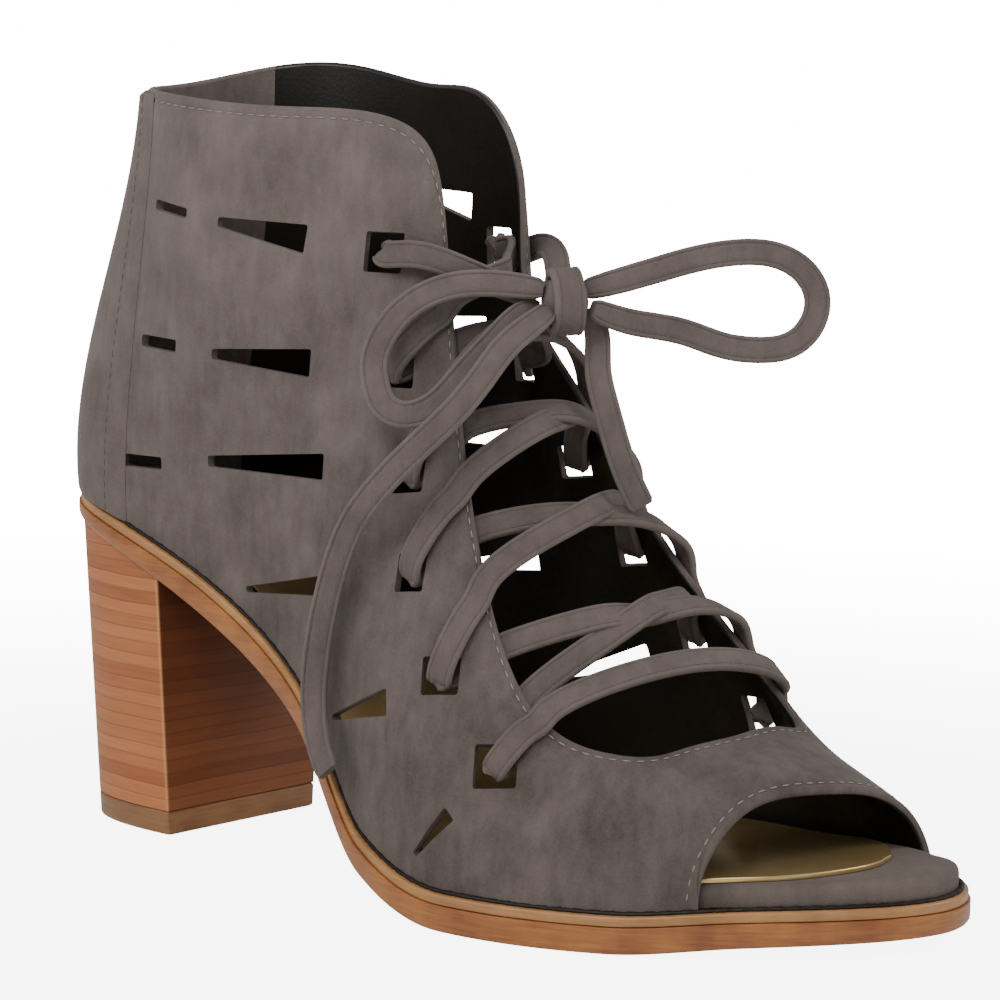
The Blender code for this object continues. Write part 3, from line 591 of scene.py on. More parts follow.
def through(route, count):
    """a smooth curve through the points of a route, at even steps"""
    p = np.asarray(route, float)
    t = np.concatenate([[0], np.cumsum(np.sqrt(np.linalg.norm(np.diff(p[:, :3], axis=0), axis=1)))])
    n = len(p)
    h = np.diff(t)
    a = np.zeros((n, n))
    r = np.zeros((n, p.shape[1]))
    a[0, 0] = a[-1, -1] = 1.0
    for i in range(1, n - 1):
        a[i, i - 1:i + 2] = (h[i - 1], 2 * (h[i - 1] + h[i]), h[i])
        r[i] = 6 * ((p[i + 1] - p[i]) / h[i] - (p[i] - p[i - 1]) / h[i - 1])
    m = np.linalg.solve(a, r)
    x = np.linspace(0, t[-1], 1200)
    k = np.clip(np.searchsorted(t, x, side="right") - 1, 0, n - 2)
    g = h[k][:, None]
    b = (x - t[k])[:, None]
    c = g - b
    fine = (m[k] * c ** 3 + m[k + 1] * b ** 3) / (6 * g) + (p[k] / g - m[k] * g / 6) * c + (
        p[k + 1] / g - m[k + 1] * g / 6) * b
    run = distances(fine[:, :3])
    want = np.linspace(0, run[-1], count)
    return np.column_stack([np.interp(want, run, fine[:, k]) for k in range(p.shape[1])])


def link_mesh(name, points, faces, material, smooth_angle=40.0):
    """a mesh from points in the tables' millimetres, faces turned outward, smooth but for its corners"""
    mesh = bpy.data.meshes.new(name)
    mesh.from_pydata([tuple(p) for p in place(points)], [], [tuple(int(k) for k in f) for f in faces])
    work = bmesh.new()
    work.from_mesh(mesh)
    bmesh.ops.recalc_face_normals(work, faces=work.faces)
    if work.calc_volume(signed=True) < 0:
        bmesh.ops.reverse_faces(work, faces=work.faces)
    work.to_mesh(mesh)
    work.free()
    mesh.polygons.foreach_set("use_smooth", [True] * len(mesh.polygons))
    mesh.set_sharp_from_angle(angle=math.radians(smooth_angle))
    if material:
        mesh.materials.append(material)
    made = bpy.data.objects.new(name, mesh)
    bpy.context.scene.collection.objects.link(made)
    return made


def unit(rows):
    return rows / (np.linalg.norm(rows, axis=-1, keepdims=True) + 1e-12)


def hand_over(piece, node, slot):
    """the piece rides the only body and takes the place of a node; slot is not used"""
    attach(piece, "root")
    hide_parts(node)


def ring_faces(rings, size, closed=False):
    """faces between rings of points that follow one another, also from the last to the first"""
    faces = []
    for k in range(rings if closed else rings - 1):
        a, b = k * size, (k + 1) % rings * size
        faces += [(a + c, b + c, b + (c + 1) % size, a + (c + 1) % size) for c in range(size)]
    return faces


def square_to(wide, line):
    """the direction of a line, and of its width and thickness square to it"""
    run = unit(np.gradient(line, axis=0))
    wide = unit(wide - run * (wide * run).sum(1)[:, None])
    return wide, np.cross(run, wide)


def sweep_lace(name, line, wide, width=LACE_WIDE, thick=LACE_THICK, material=None):
    """line: points; wide: which way the width lies there; width and thick: one number or one each"""
    count = len(line)
    wide, over = square_to(wide, line)
    left = [(r["across"], r["over"]) for r in HALF_SECTION]
    top = left + [(-x, y) for x, y in left[-2::-1]]
    ring = np.array(top + [(x, -y) for x, y in top[-2:0:-1]])
    squeeze = np.full((count, 1, 1), 1.0)
    squeeze[[0, -1]] = 0.82
    half_wide, half_thick = (np.broadcast_to(np.asarray(size, float) / 2, count)[:, None, None] * squeeze
                             for size in (width, thick))
    points = (line[:, None] + ring[:, :1] * half_wide * wide[:, None]
              + ring[:, 1:] * half_thick * over[:, None]).reshape(-1, 3)
    m = len(ring)
    faces = [tuple(range(m)), tuple((count - 1) * m + k for k in range(m))[::-1]] + ring_faces(count, m)
    made = link_mesh(name, points, faces, material or LACE_SUEDE, 60.0)
    pale = made.data.attributes.new("edge", "FLOAT", "POINT")
    rim = np.clip((np.abs(ring[:, 0]) - 0.7) / 0.3, 0, 1) ** 1.5 * 0.55
    pale.data.foreach_set("value", np.tile(rim, count).astype(np.float32))
    return made


# %% [markdown]
# ## The bow
#
# The bow is the free part of the lace: two loops and two ends out of one small knot, and the
# two stretches from the top eyelets to it. The long end on the outer side hangs down over the
# quarter, the short one on the inner side hangs inside the view of the throat.
# All of it shows in the picture from end to end, so its length is the picture's.

# %% Routes of the loose lace
KNOT_ROUTE = [(141.2, -3.9, 130.1), (139.5, 0.0, 129.9), (137.8, 3.9, 129.6)]
LOOP_OUTER_ROUTE = [(137.3, 5.0, 132.6), (131.3, 11.5, 133.6), (125.0, 17.5, 133.4), (120.3, 22.5, 131.4),
                    (116.4, 26.8, 127.6), (114.3, 30.5, 122.4), (113.4, 32.5, 116.8),
                    (116.4, 35.0, 111.6), (120.6, 36.5, 107.4), (125.6, 35.3, 105.9),
                    (129.6, 31.6, 107.9), (131.3, 26.5, 112.3), (131.8, 20.5, 117.2),
                    (131.7, 14.3, 121.3), (134.2, 8.2, 127.2), (135.1, 3.8, 128.1)]
END_OUTER_ROUTE = [(139.9, 6.2, 127.9), (140.0, 10.2, 126.0), (139.3, 18.0, 121.6), (140.0, 26.5, 115.5),
                   (139.2, 34.0, 108.6), (135.6, 39.0, 102.5), (129.3, 40.6, 96.5), (121.8, 41.0, 89.5),
                   (115.1, 40.8, 81.8), (109.9, 40.4, 71.6), (106.6, 40.2, 61.4), (104.7, 40.2, 51.3),
                   (105.0, 41.0, 41.5), (108.6, 43.0, 33.4), (113.3, 45.0, 28.4)]
LOOP_INNER_ROUTE = [(139.8, -6.3, 132.4), (145.5, -11.0, 134.5), (151.6, -18.0, 137.3),
                    (156.5, -26.0, 139.8), (161.6, -34.0, 141.2), (166.1, -41.0, 140.7),
                    (170.3, -46.0, 137.4), (172.6, -48.5, 131.5), (172.2, -47.0, 125.1),
                    (169.5, -43.0, 120.8), (164.9, -38.0, 119.6), (159.5, -31.0, 120.6),
                    (154.2, -22.5, 123.7), (147.8, -13.0, 125.6), (144.1, -3.9, 128.6)]
END_INNER_ROUTE = [(139.9, -7.2, 127.8), (141.5, -8.9, 123.4), (143.3, -7.4, 115.4), (146.5, -6.2, 107.8),
                   (149.5, -6.2, 100.1), (152.1, -7.4, 92.5), (154.9, -9.4, 85.6)]
LEAD_OUTER_ROUTE = [(107.4, 22.7, 139.3), (113.5, 21.9, 139.6), (119.5, 18.0, 138.2),
                    (125.0, 10.5, 134.6), (129.0, 4.4, 132.0), (132.2, 1.2, 130.3)]
LEAD_INNER_ROUTE = [(107.4, -21.8, 139.8), (113.5, -21.2, 141.0), (119.5, -18.2, 141.2),
                    (126.5, -12.5, 139.2), (131.0, -8.0, 135.2), (134.1, -4.5, 131.3)]
# The strap lies with its face toward the front and outer side in the bow
BOW_FACE = np.array([0.62, 0.76, 0.15])


def bow_strap(name, route, count, face_start, face_end, pinched):
    """one free stretch of lace; pinched says at which ends it is gathered into the knot"""
    line = through(route, count)
    run = unit(np.gradient(line, axis=0))
    share = np.linspace(0, 1, count)[:, None]
    blend = ease(share / 0.25) * ease((1 - share) / 0.25)
    start, end = np.array(face_start, float), np.array(face_end, float)
    face = np.where(share < 0.5, start, end) * (1 - blend) + BOW_FACE * blend
    wide = np.cross(face, run)
    far = np.full(count, 99.0)
    length = distances(line)[-1]
    walked = np.linspace(0, length, count)
    if "start" in pinched:
        far = np.minimum(far, walked)
    if "end" in pinched:
        far = np.minimum(far, walked[-1] - walked)
    gather = np.exp(-far / 4.0)
    made = sweep_lace(name + "_strap", line, wide, LACE_WIDE - 1.6 * gather, LACE_THICK + 0.9 * gather)
    hand_over(made, name, "lace")
    tuple(float(c) for c in place(line[0])[0])
    [tuple(float(c) for c in p) for p in place(line)]
    print(name, round(length), "mm")
    return made, line, wide


LOOSE = {}
FLAT = tuple(BOW_FACE)
AGAINST_QUARTER = (0.2, 1.0, 0.1)
for name, route, count, last_face, pinched, far_end in (
        ("lace_loop_outer", LOOP_OUTER_ROUTE, 90, FLAT, ("start", "end"), "knot"),
        ("lace_loop_inner", LOOP_INNER_ROUTE, 96, FLAT, ("start", "end"), "knot"),
        ("lace_end_outer", END_OUTER_ROUTE, 110, AGAINST_QUARTER, ("start",), "bare"),
        ("lace_end_inner", END_INNER_ROUTE, 50, FLAT, ("start",), "bare")):
    LOOSE[name] = bow_strap(name, route, count, FLAT, last_face, pinched)

# %% The stretches from the top eyelets to the knot


def surface_place(share, depth):
    """a point this far outside the leather, and the leather's own direction there"""
    n = skin_normal(share[:1], np.minimum(share[1:], 0.995))[0]
    return skin(share[:1], share[1:])[0] + n * depth, n


def lead_in(route, side):
    """the same route, begun inside the top eyelet"""
    eye, n = surface_place(EYELETS[(1, side)], 0.0)
    t = unit(np.array(route[1]) - eye)
    return [tuple(eye - n * 4.0 - t * 0.5), tuple(eye - n * 0.5)] + list(route), n


for name, route, side in (("lace_lead_outer", LEAD_OUTER_ROUTE, 1),
                          ("lace_lead_inner", LEAD_INNER_ROUTE, -1)):
    whole, n = lead_in(route, side)
    LOOSE[name] = bow_strap(name, whole, 60, tuple(n), FLAT, ("end",))

# %% [markdown]
# ## The knot and the laced throat
#
# Each crossing comes up through its eyelet, or from under the throat edge, bows over the open
# throat and goes down on the other side. Two straps that meet lie on each other, so after their
# lines are laid the upper one is lifted and the lower one pressed down until a strap fits between.

# %% The knot: a core with one strap wound over it
KNOT_WRAP_WIDE, KNOT_WRAP_THICK = 7.4, 2.2
KNOT_WRAP_HIGH, KNOT_WRAP_DEEP, KNOT_WRAP_LEAN = 6.4, 4.8, 1.1
KNOT_CORE_HIGH, KNOT_CORE_DEEP, KNOT_CORE_LONG = 5.6, 4.0, 5.4


def make_knot():
    centre = np.array(KNOT_ROUTE[1])
    axis = unit(np.array(KNOT_ROUTE[2]) - np.array(KNOT_ROUTE[0]))
    high = unit(np.array([0, 0, 1.0]) - axis * axis[2])
    front = np.cross(high, axis)
    if front @ BOW_FACE < 0:
        front = -front
    turn = np.linspace(0, 2 * np.pi, 49)[:-1, None]
    up, out = np.cos(turn), np.sin(turn)
    line = centre + high * up * KNOT_WRAP_HIGH + front * out * KNOT_WRAP_DEEP + axis * KNOT_WRAP_LEAN * out
    wide = axis + high * 0.12 * out
    wrap = sweep_lace("lace_knot_wrap", np.vstack([line, line[:2]]), np.vstack([wide, wide[:2]]),
                      KNOT_WRAP_WIDE, KNOT_WRAP_THICK)
    points, discs, sides = [], 13, 16
    for share in np.linspace(-1, 1, discs):
        fat = math.sqrt(max(1 - abs(share) ** 3, 0.03))
        points.append(centre + axis * share * KNOT_CORE_LONG
                      + fat * (high * up[::3] * KNOT_CORE_HIGH + front * out[::3] * KNOT_CORE_DEEP))
    faces = ring_faces(discs, sides)
    faces += [tuple(range(sides))[::-1], tuple((discs - 1) * sides + c for c in range(sides))]
    core = link_mesh("lace_knot_core", np.vstack(points), faces, LACE_SUEDE)
    for piece in (wrap, core):
        hand_over(piece, "lace_knot", "lace")


make_knot()

# %% Strands over the throat
WALL = 2.0
STRANDS = table("name outer_share outer_way outer_row inner_share inner_way inner_row arch stands_in", [
    ("bar_front", 0.3475, "over", 6, 0.6200, "over", 6, 9.0, "lace_bar_front"),
    ("fifth_upper", 0.3370, "under", 6, 0.6500, "under", 5, 9.0, "lace_cross_fifth"),
    ("fifth_lower", 0.3238, "under", 5, 0.6390, "over", 6, 9.0, "lace_cross_fifth"),
    ("fourth_upper", 0.3120, "over", 5, 0.6738, "under", 4, 9.0, "lace_cross_fourth"),
    ("fourth_lower", 0.3010, "under", 4, 0.6590, "over", 5, 9.0, "lace_cross_fourth"),
    ("third_lower", 0.2930, "over", 4, 0.6965, "under", 3, 9.0, "lace_cross_third"),
    ("third_upper", 0.2810, "under", 3, 0.6800, "over", 4, 9.0, "lace_cross_third"),
    ("second_upper", 0.2730, "over", 3, 0.7190, "under", 2, 9.0, "lace_cross_second"),
    ("second_lower", 0.2610, "under", 2, 0.7025, "over", 3, 9.0, "lace_cross_second"),
    ("first_lower", 0.2540, "over", 2, 0.7450, "under", 1, 6.0, ""),
])
LIFT = LACE_THICK / 2 + 0.35
DEEP = WALL + LIFT + 0.7
# A strand's way from inside the shoe out over the wall, or back in under it: steps along the wall
# and off it at the opening, its height over the wall and where, and its step past the throat edge
AT_EYELET = {"over": ((-1.2, -2.2), (-0.4, -0.6), (3.4, LIFT + 0.2)),
             "under": ((-1.3, -0.7), (-0.2, -2.0), (2.2, 0.4 - DEEP))}
ON_WALL = {"over": (LIFT + 0.1, (0.62, 0.82)), "under": (-DEEP, (0.6, 0.82))}
PAST_EDGE = {"over": (LIFT + 0.2, LIFT + 1.4), "under": (-DEEP - 0.3, 1.2)}


def crosswise(n, way):
    return np.cross(n, unit(way - n * (way @ n)))


def strand_end(side, share, way, number):
    """points and width directions from inside the shoe to the throat edge"""
    eye, top = EYELETS[(number, side)], np.array([share, 1.0])
    hole, n = surface_place(eye, 0.0)
    rim, n_rim = surface_place(top, 0.0)
    t = unit((rim - hole) - n * ((rim - hole) @ n))
    spots = [(hole + t * on + n * off, np.cross(n, t)) for on, off in AT_EYELET[way]]
    height, reaches = ON_WALL[way]
    for reach in reaches:
        spot, n_here = surface_place(eye + (top - eye) * reach, height)
        spots.append((spot, crosswise(n_here, t)))
    beyond = unit(rim - surface_place(top - np.array([0.0, 0.02]), 0.0)[0])
    off, past = PAST_EDGE[way]
    spots.append((rim + n_rim * off + beyond * past, crosswise(n_rim, t)))
    return spots, n_rim


def strand_line(row, count=110):
    (outer, face_a), (inner, face_b) = (
        strand_end(side, row[at + "_share"], row[at + "_way"], row[at + "_row"])
        for side, at in ((1, "outer"), (-1, "inner")))
    inner = [(spot, -w) for spot, w in inner[::-1]]
    face = unit(face_a + face_b)
    middle = (outer[-1][0] + inner[0][0]) / 2 + face * row["arch"]
    across = np.cross(face, unit(inner[0][0] - outer[-1][0]))
    both = through(np.array([np.hstack(s) for s in outer + [(middle, across)] + inner]), count)
    return both[:, :3], both[:, 3:], face


LOOSE_ENDS = 25


def settle(upper, lower, face, want=LACE_THICK + 0.25, reach=7.5):
    """lifts one line and presses the other where they cross, until a strap fits between them"""
    flat = upper[:, None] - lower[None]
    flat = flat - face * (flat @ face)[..., None]
    near = np.linalg.norm(flat, axis=2)[LOOSE_ENDS:-LOOSE_ENDS, LOOSE_ENDS:-LOOSE_ENDS]
    if near.min() > 6.0:
        return 0.0
    i, j = np.array(np.unravel_index(np.argmin(near), near.shape)) + LOOSE_ENDS
    missing = want - (upper[i] - lower[j]) @ face
    if missing > 0:
        for line, k, way in ((upper, i, 0.5), (lower, j, -0.5)):
            walked = np.linalg.norm(line - line[k], axis=1)
            ends = ease(np.minimum(np.arange(len(line)), np.arange(len(line))[::-1]) / 22.0 - 0.5)
            line += face * (missing * way * np.exp(-(walked / reach) ** 2) * ends)[:, None]
    return missing


LINES = {row["name"]: strand_line(row) for row in STRANDS}
for name in ("fifth", "fourth", "third", "second"):
    upper, lower = LINES[name + "_upper"], LINES[name + "_lower"]
    print(name, "crossing moved by", round(settle(upper[0], lower[0], upper[2]), 1), "mm")
for row in STRANDS:
    line, wide, face = LINES[row["name"]]
    strand = sweep_lace("lace_" + row["name"], line, wide)
    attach(strand, "root")
    if row["stands_in"]:
        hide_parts(row["stands_in"])

# %% [markdown]
# ## The sole
#
# The sole is built up of layers that share one outline: an outsole of leather board with a
# stained and polished edge, a paler rand on it, the insole board wrapped in suede, and a thin
# foil-covered sock. Each layer is a stack of outlines closed across by rungs at the same
# stations, so the layers follow one another without gaps, and a few narrow levels round the
# edges where the edge trimmer rounds them on the real sole.

# %% A layer of the sole as a stack of levels
GAP = 0.35
WELT = 2.1
FOOTBED_HEEL = 3.0
FOOTBED_TOE = 4.8
SOCK = 0.8
SEAT_WALL_GAP = 1.0
PEEP_FROM = 0.411
PEEP_TO = 0.572


def inset_loop(inset, count=1440):
    u = np.arange(count) / count
    amount = inset(u) if callable(inset) else np.full(count, float(inset))
    loop = EDGE(u) - outward(u) * amount[:, None]
    if amount.max() > 10.0:
        # An inset deeper than a corner is round folds over itself, so its points are averaged
        near = np.exp(-(np.arange(-45, 46) / 20.0) ** 2)
        whole = np.vstack([loop[-45:], loop, loop[:45]])
        loop = np.column_stack([np.convolve(whole[:, k], near / near.sum(), "valid") for k in (0, 1)])
    return loop


def halves(loop, stations, first=None, last=None):
    """outer and inner side of a loop at stations 0 to 1 between its ends"""
    start, end = np.argmin(loop[:, 0]), np.argmax(loop[:, 0])
    ring = np.roll(loop, -start, 0)
    end = (end - start) % len(loop)
    outer = ring[:end + 1]
    inner = np.vstack([ring[end:], ring[:1]])[::-1]
    low = ring[0, 0] if first is None else first
    high = ring[end, 0] if last is None else last
    along = low + (high - low) * stations
    return along, np.interp(along, outer[:, 0], outer[:, 1]), np.interp(along, inner[:, 0], inner[:, 1])


def end_stations(count):
    """stations drawn together toward both round ends"""
    return 0.5 - 0.5 * np.cos(np.pi * (np.arange(count) + 0.12) / (count - 0.76))


def stack(name, levels, material, angle=35.0):
    points, faces = [], []
    for along, outer, inner, height in levels:
        height = np.broadcast_to(height, along.shape)
        points += list(zip(along, outer, height)) + list(zip(along, inner, height))
    n = len(levels[0][0])
    for a in range(0, 2 * n * (len(levels) - 1), 2 * n):
        b = a + 2 * n
        for k in range(n - 1):
            faces.append((a + k, a + k + 1, b + k + 1, b + k))
            faces.append((a + n + k + 1, a + n + k, b + n + k, b + n + k + 1))
        faces += [(a, b, b + n, a + n), (a + n - 1, a + 2 * n - 1, b + 2 * n - 1, b + n - 1)]
    top = 2 * n * (len(levels) - 1)
    for k in range(n - 1):
        faces.append((k, k + n, k + n + 1, k + 1))
        faces.append((top + k, top + k + 1, top + k + n + 1, top + k + n))
    return link_mesh(name, points, faces, material, angle)


def sole_level(inset, height, count=170):
    along, outer, inner = halves(inset_loop(inset), end_stations(count))
    return along, outer, inner, height(along)


def rounded(inset, low, high, radius_low, radius_high, steps=4):
    """levels of a layer whose lower and upper edges are rounded"""
    quarter = [math.pi / 2 * k / steps for k in range(steps + 1)]
    made = [(radius_low * (1 - math.sin(a)), low, radius_low * (1 - math.cos(a))) for a in quarter]
    made += [(radius_high * (1 - math.cos(a)), high, -radius_high * (1 - math.sin(a))) for a in quarter]
    levels = []
    for draw_in, height, shift in made:
        at = (lambda u, d=draw_in: inset(u) + d) if callable(inset) else inset + draw_in
        levels.append(sole_level(at, lambda s, h=height, z=shift: h(s) + z))
    return levels


def peep_window(u):
    """0 under the closed upper, 1 in the open toe"""
    w = np.clip((u - PEEP_FROM - 0.006) / 0.016, 0, 1) * np.clip((PEEP_TO - 0.013 - u) / 0.018, 0, 1)
    return w * w * (3 - 2 * w)


def footbed_inset(u):
    closed = FEATHER_INSET + WALL + SEAT_WALL_GAP
    return closed + (2.6 - closed) * peep_window(u)


def sock_inset(u):
    centre = (PEEP_FROM + PEEP_TO) / 2 + 0.03
    w = ease(1.0 - np.abs(u - centre) / 0.095)
    return footbed_inset(u) + 2.2 + 13.0 * w


def footbed_low(along):
    return sole_top(along) + GAP


def footbed_top(along):
    thick = smooth_steps([0, 110, 165, 240], [FOOTBED_HEEL, FOOTBED_HEEL, FOOTBED_TOE, FOOTBED_TOE], along)
    return footbed_low(along) + thick


# %% Edge stain, rand, foil and heel materials
def edge_leather(name, dark, light, rough, layer):
    """cut edge of leather board, stained and waxed: fine lines run along the layer"""
    made = Recipe(name, Roughness=rough, Coat_Weight=0.25, Coat_Roughness=0.3)
    fibre = made.noise(layer, made.stretched(0.06, 0.06, 1.0), Detail=4.0, Roughness=0.65)
    stain = made.noise(11.0, Detail=3.0)
    share = made.ramp(made.maths("ADD", fibre, stain), 0.7, 1.3)
    return made.finish(made.blend(share, dark, light), fibre, 0.25, 0.0001)


def gold_foil():
    """metallic foil pressed on leather: it mirrors softly and keeps the grain of the leather below"""
    made = Recipe("gold foil on leather", Metallic=0.8, Roughness=0.3)
    colour = made.blend(made.noise(14.0, Detail=3.0), "c79c56", "f2d9a4")
    return made.finish(colour, made.cells(1.1), 0.2, 0.0001)


SOLE_EDGE = edge_leather("stained sole edge", "804620", "b27236", 0.38, 0.7)
RAND_EDGE = edge_leather("pale leather rand", "98693c", "bb8752", 0.42, 0.5)
TOP_PIECE = edge_leather("top piece of the heel", "784f2c", "9b6f42", 0.5, 0.9)
FOIL = gold_foil()
PLATFORM_SUEDE = suede("pressed suede of the insole edge", "594f4a", "756a64", 0.14)

# %% Outsole, rand, insole board and sock
SOLE_LAYERS = {
    "outsole": ("sole_edge", SOLE_EDGE, 0.0, sole_bottom, lambda s: sole_top(s) - WELT - GAP / 2,
                1.3, 0.15, 4),
    "welt": ("rand", RAND_EDGE, 0.5, lambda s: sole_top(s) - WELT, sole_top, 0.1, 0.6, 3),
    "footbed": ("suede", PLATFORM_SUEDE, footbed_inset, footbed_low, footbed_top, 0.3, 2.2, 5),
    "sock": ("gold_sock", FOIL, sock_inset, lambda s: footbed_top(s) + 0.1,
             lambda s: footbed_top(s) + GAP + SOCK, 0.1, 0.3, 3),
}
for node, (slot, material, *edges) in SOLE_LAYERS.items():
    piece = stack(node + "_shaped", rounded(*edges), material)
    hand_over(piece, node, slot)
    print(node, len(piece.data.polygons), "faces")

# %% [markdown]
# ## The stacked heel
#
# A stacked heel is made of leather boards glued on one another and sanded to one surface, so
# its layers show as lines about 3 mm apart, each board a little lighter or darker than the next.
# The material counts layers by height: the whole part picks each board's tone, the fraction
# draws the dark glue line between two boards, and stretched noise gives the sanded grain.

# %% Stacked leather material
BOARD = 3.1


def stacked_leather():
    made = Recipe("stacked leather boards", Roughness=0.5, Coat_Weight=0.06, Specular_IOR_Level=0.3,
                  Coat_Roughness=0.35)
    boards = made.maths("MULTIPLY", made.height(), per_mm(BOARD))
    height = made.maths("ADD", boards, made.maths("MULTIPLY", made.noise(25.0, Detail=1.0), 0.35))
    number, within = made.maths("FLOOR", height), made.maths("FRACT", height)
    pick = add_node(made.tree, "ShaderNodeTexWhiteNoise", {"W": number}, noise_dimensions="1D").outputs[0]
    fibre = made.noise(0.8, made.stretched(0.05, 0.05, 1.0), Detail=5.0, Roughness=0.7)
    share = made.maths("ADD", made.maths("MULTIPLY", pick, 0.45), made.maths("MULTIPLY", fibre, 0.75))
    tone = made.blend(share, "854423", "c9804f")
    glued = made.blend(made.ramp(within, 0.0, 0.16, 0.5, 0.0), tone, "5c2f18")
    # Painted highlight: a pale line along the heel's front corners, where the edge catches the light
    pale = made.blend(made.painted("corner"), glued, "dca676")
    # Painted shade: the heel's front face under the arch is darkened, more toward the top under the sole
    return made.finish(made.blend(made.painted("breast_shade"), pale, "401704"), share, 0.25, 0.00015)


# %% Heel block and its top piece
HEEL_TIP = 5.7
HEEL_FRONT_TOP = 42.0
HEEL_BACK_FLOOR = 5.5
HEEL_FRONT_FLOOR = 43.0
HEEL_TAPER = 0.87


def heel_level(height, draw_in=0.0, count=70):
    """one level of the block, drawn in at its rounded edges; a height of None is the seat"""
    loop = inset_loop(1.2)
    stations = 1.0 - np.cos(np.pi / 2.0 * (np.arange(count) + 0.12) / (count - 0.88))
    stations = np.concatenate([stations[:-1], [0.985, 0.994, 1.0]])
    stations = np.unique(stations)
    along, outer, inner = halves(loop, stations, None, HEEL_FRONT_TOP)
    back = loop[:, 0].min()
    share = (along - back) / (HEEL_FRONT_TOP - back)
    floor_along = HEEL_BACK_FLOOR + share * (HEEL_FRONT_FLOOR - HEEL_BACK_FLOOR)
    top = sole_bottom(along) - GAP / 2
    t = np.ones(len(along)) if height is None else height / top
    x = floor_along + (along - floor_along) * t
    grow = HEEL_TAPER + (1.0 - HEEL_TAPER) * t
    corner = np.interp(HEEL_FRONT_TOP - along, [0.0, 0.25, 0.7], [0.7, 0.2, 0.0])
    outer = outer * grow - corner - draw_in
    inner = inner * grow + corner + draw_in
    x = np.interp(x, [x.min(), x.max()], [x.min() + draw_in, x.max() - draw_in])
    z = top if height is None else np.full(len(x), float(height))
    return x, outer, inner, z


def make_heel():
    levels = [heel_level(HEEL_TIP, 0.3)] + [heel_level(h) for h in np.linspace(HEEL_TIP + 0.3, 40.0, 16)]
    base, seat = heel_level(40.0), heel_level(None)
    levels += [tuple(a + (b - a) * k for a, b in zip(base, seat)) for k in np.linspace(0, 1, 10)[1:]]
    heel = stack("heel_stacked", levels, stacked_leather(), 30.0)
    distance = np.concatenate([np.tile(lv[0].max() - lv[0], 2) for lv in levels])
    heights = np.concatenate([np.tile(lv[3], 2) for lv in levels])
    # This mask paints a highlight on the edges just beside the heel's front face
    corner = np.clip(1.0 - distance / 0.9, 0, 1) * 0.75
    # This mask paints shade on the heel's front face, deeper toward the top
    breast_shade = (distance < 0.02) * np.interp(heights, [5.0, 70.0], [0.55, 1.0])
    for name, values in (("corner", corner * (distance > 0.02)), ("breast_shade", breast_shade)):
        heel.data.attributes.new(name, "FLOAT", "POINT").data.foreach_set("value", values.astype(np.float32))
    edges = ((0.0, 0.5), (0.2, 0.15), (0.5, 0.0), (HEEL_TIP - 0.5, 0.0), (HEEL_TIP - 0.1, 0.25))
    tip = stack("heel_tip_shaped", [heel_level(*edge) for edge in edges], TOP_PIECE, 30.0)
    hand_over(heel, "heel", "stacked_heel")
    hand_over(tip, "heel_tip", "tip")
    return heel


HEEL = make_heel()
print("heel faces:", len(HEEL.data.polygons))

# %% [markdown]
# ## The upper
#
# The upper is one leather wall 2 mm thick: suede outside, a smooth black lining inside, turned
# over and stitched along its edges. It could be a surface with a Solidify modifier, but the
# edge of such a wall is square. Here every column of points goes up the outside, over a round
# edge and down the inside, so the turned edge catches light as real leather does.
# Rows lie at fixed distances from the edges, close enough to press in the stitched groove.

# %% Lining leather
def lining_leather():
    """smooth sheep lining, dyed black and rolled: a fine grain with a satin gloss"""
    made = Recipe("rolled black lining", Roughness=0.34, Specular_IOR_Level=0.5)
    colour = made.blend(made.noise(20.0, Detail=3.0), "15120f", "2a2620")
    return made.finish(colour, made.cells(0.9), 0.25, 0.00012)


LINING = lining_leather()
CUT_EDGE = suede("cut edge of suede", "4e443f", "6f655e", 0.1)

# %% Columns round the shoe and rows up the wall
PEEP_HIGH = 0.60
SEAT = 0.6
GROOVE_FROM_EDGE = 2.4
GROOVE_DEEP = 0.28
EDGE_ROWS = 14
EDGE_STEP = 0.42
BODY_ROWS = 46


def peep_edge(turn):
    """shares and heights of the edge of the peep toe, at angles from 0 to pi"""
    centre, half = (PEEP_FROM + PEEP_TO) / 2, (PEEP_TO - PEEP_FROM) / 2
    return centre - half * np.cos(turn), PEEP_HIGH * np.sin(turn) ** 0.9


def wall_columns(window=150, rest=470):
    """shares round the sole with the lower end of the wall there: the peep toe lifts it"""
    u, low = peep_edge(np.pi * np.arange(window + 1) / window)
    low[0] = low[-1] = 0.0
    share = np.linspace(PEEP_TO, PEEP_FROM + 1.0, rest + 2)[1:-1]
    return np.append(u, share), np.append(low, np.zeros(rest))


def wall_rows(u, low):
    """heights v of the rows in each column, and their distance in mm to the top and low edges"""
    steps = np.linspace(0, 1, 161)
    v = low[None] + (1 - low[None]) * steps[:, None]
    points = np.array([skin(u, row) for row in v])
    walked = np.array([distances(points[:, k]) for k in range(len(u))]).T
    high = walked[-1]
    at_low = np.arange(EDGE_ROWS)[:, None] * EDGE_STEP * np.ones(len(u))
    at_top = high - np.arange(EDGE_ROWS)[::-1, None] * EDGE_STEP
    body = np.linspace(0, 1, BODY_ROWS + 2)[1:-1, None]
    between = at_low[-1] + (at_top[0] - at_low[-1]) * body
    want = np.vstack([at_low, between, at_top])
    rows = np.array([np.interp(want[:, k], walked[:, k], v[:, k]) for k in range(len(u))]).T
    return rows, high - want, want
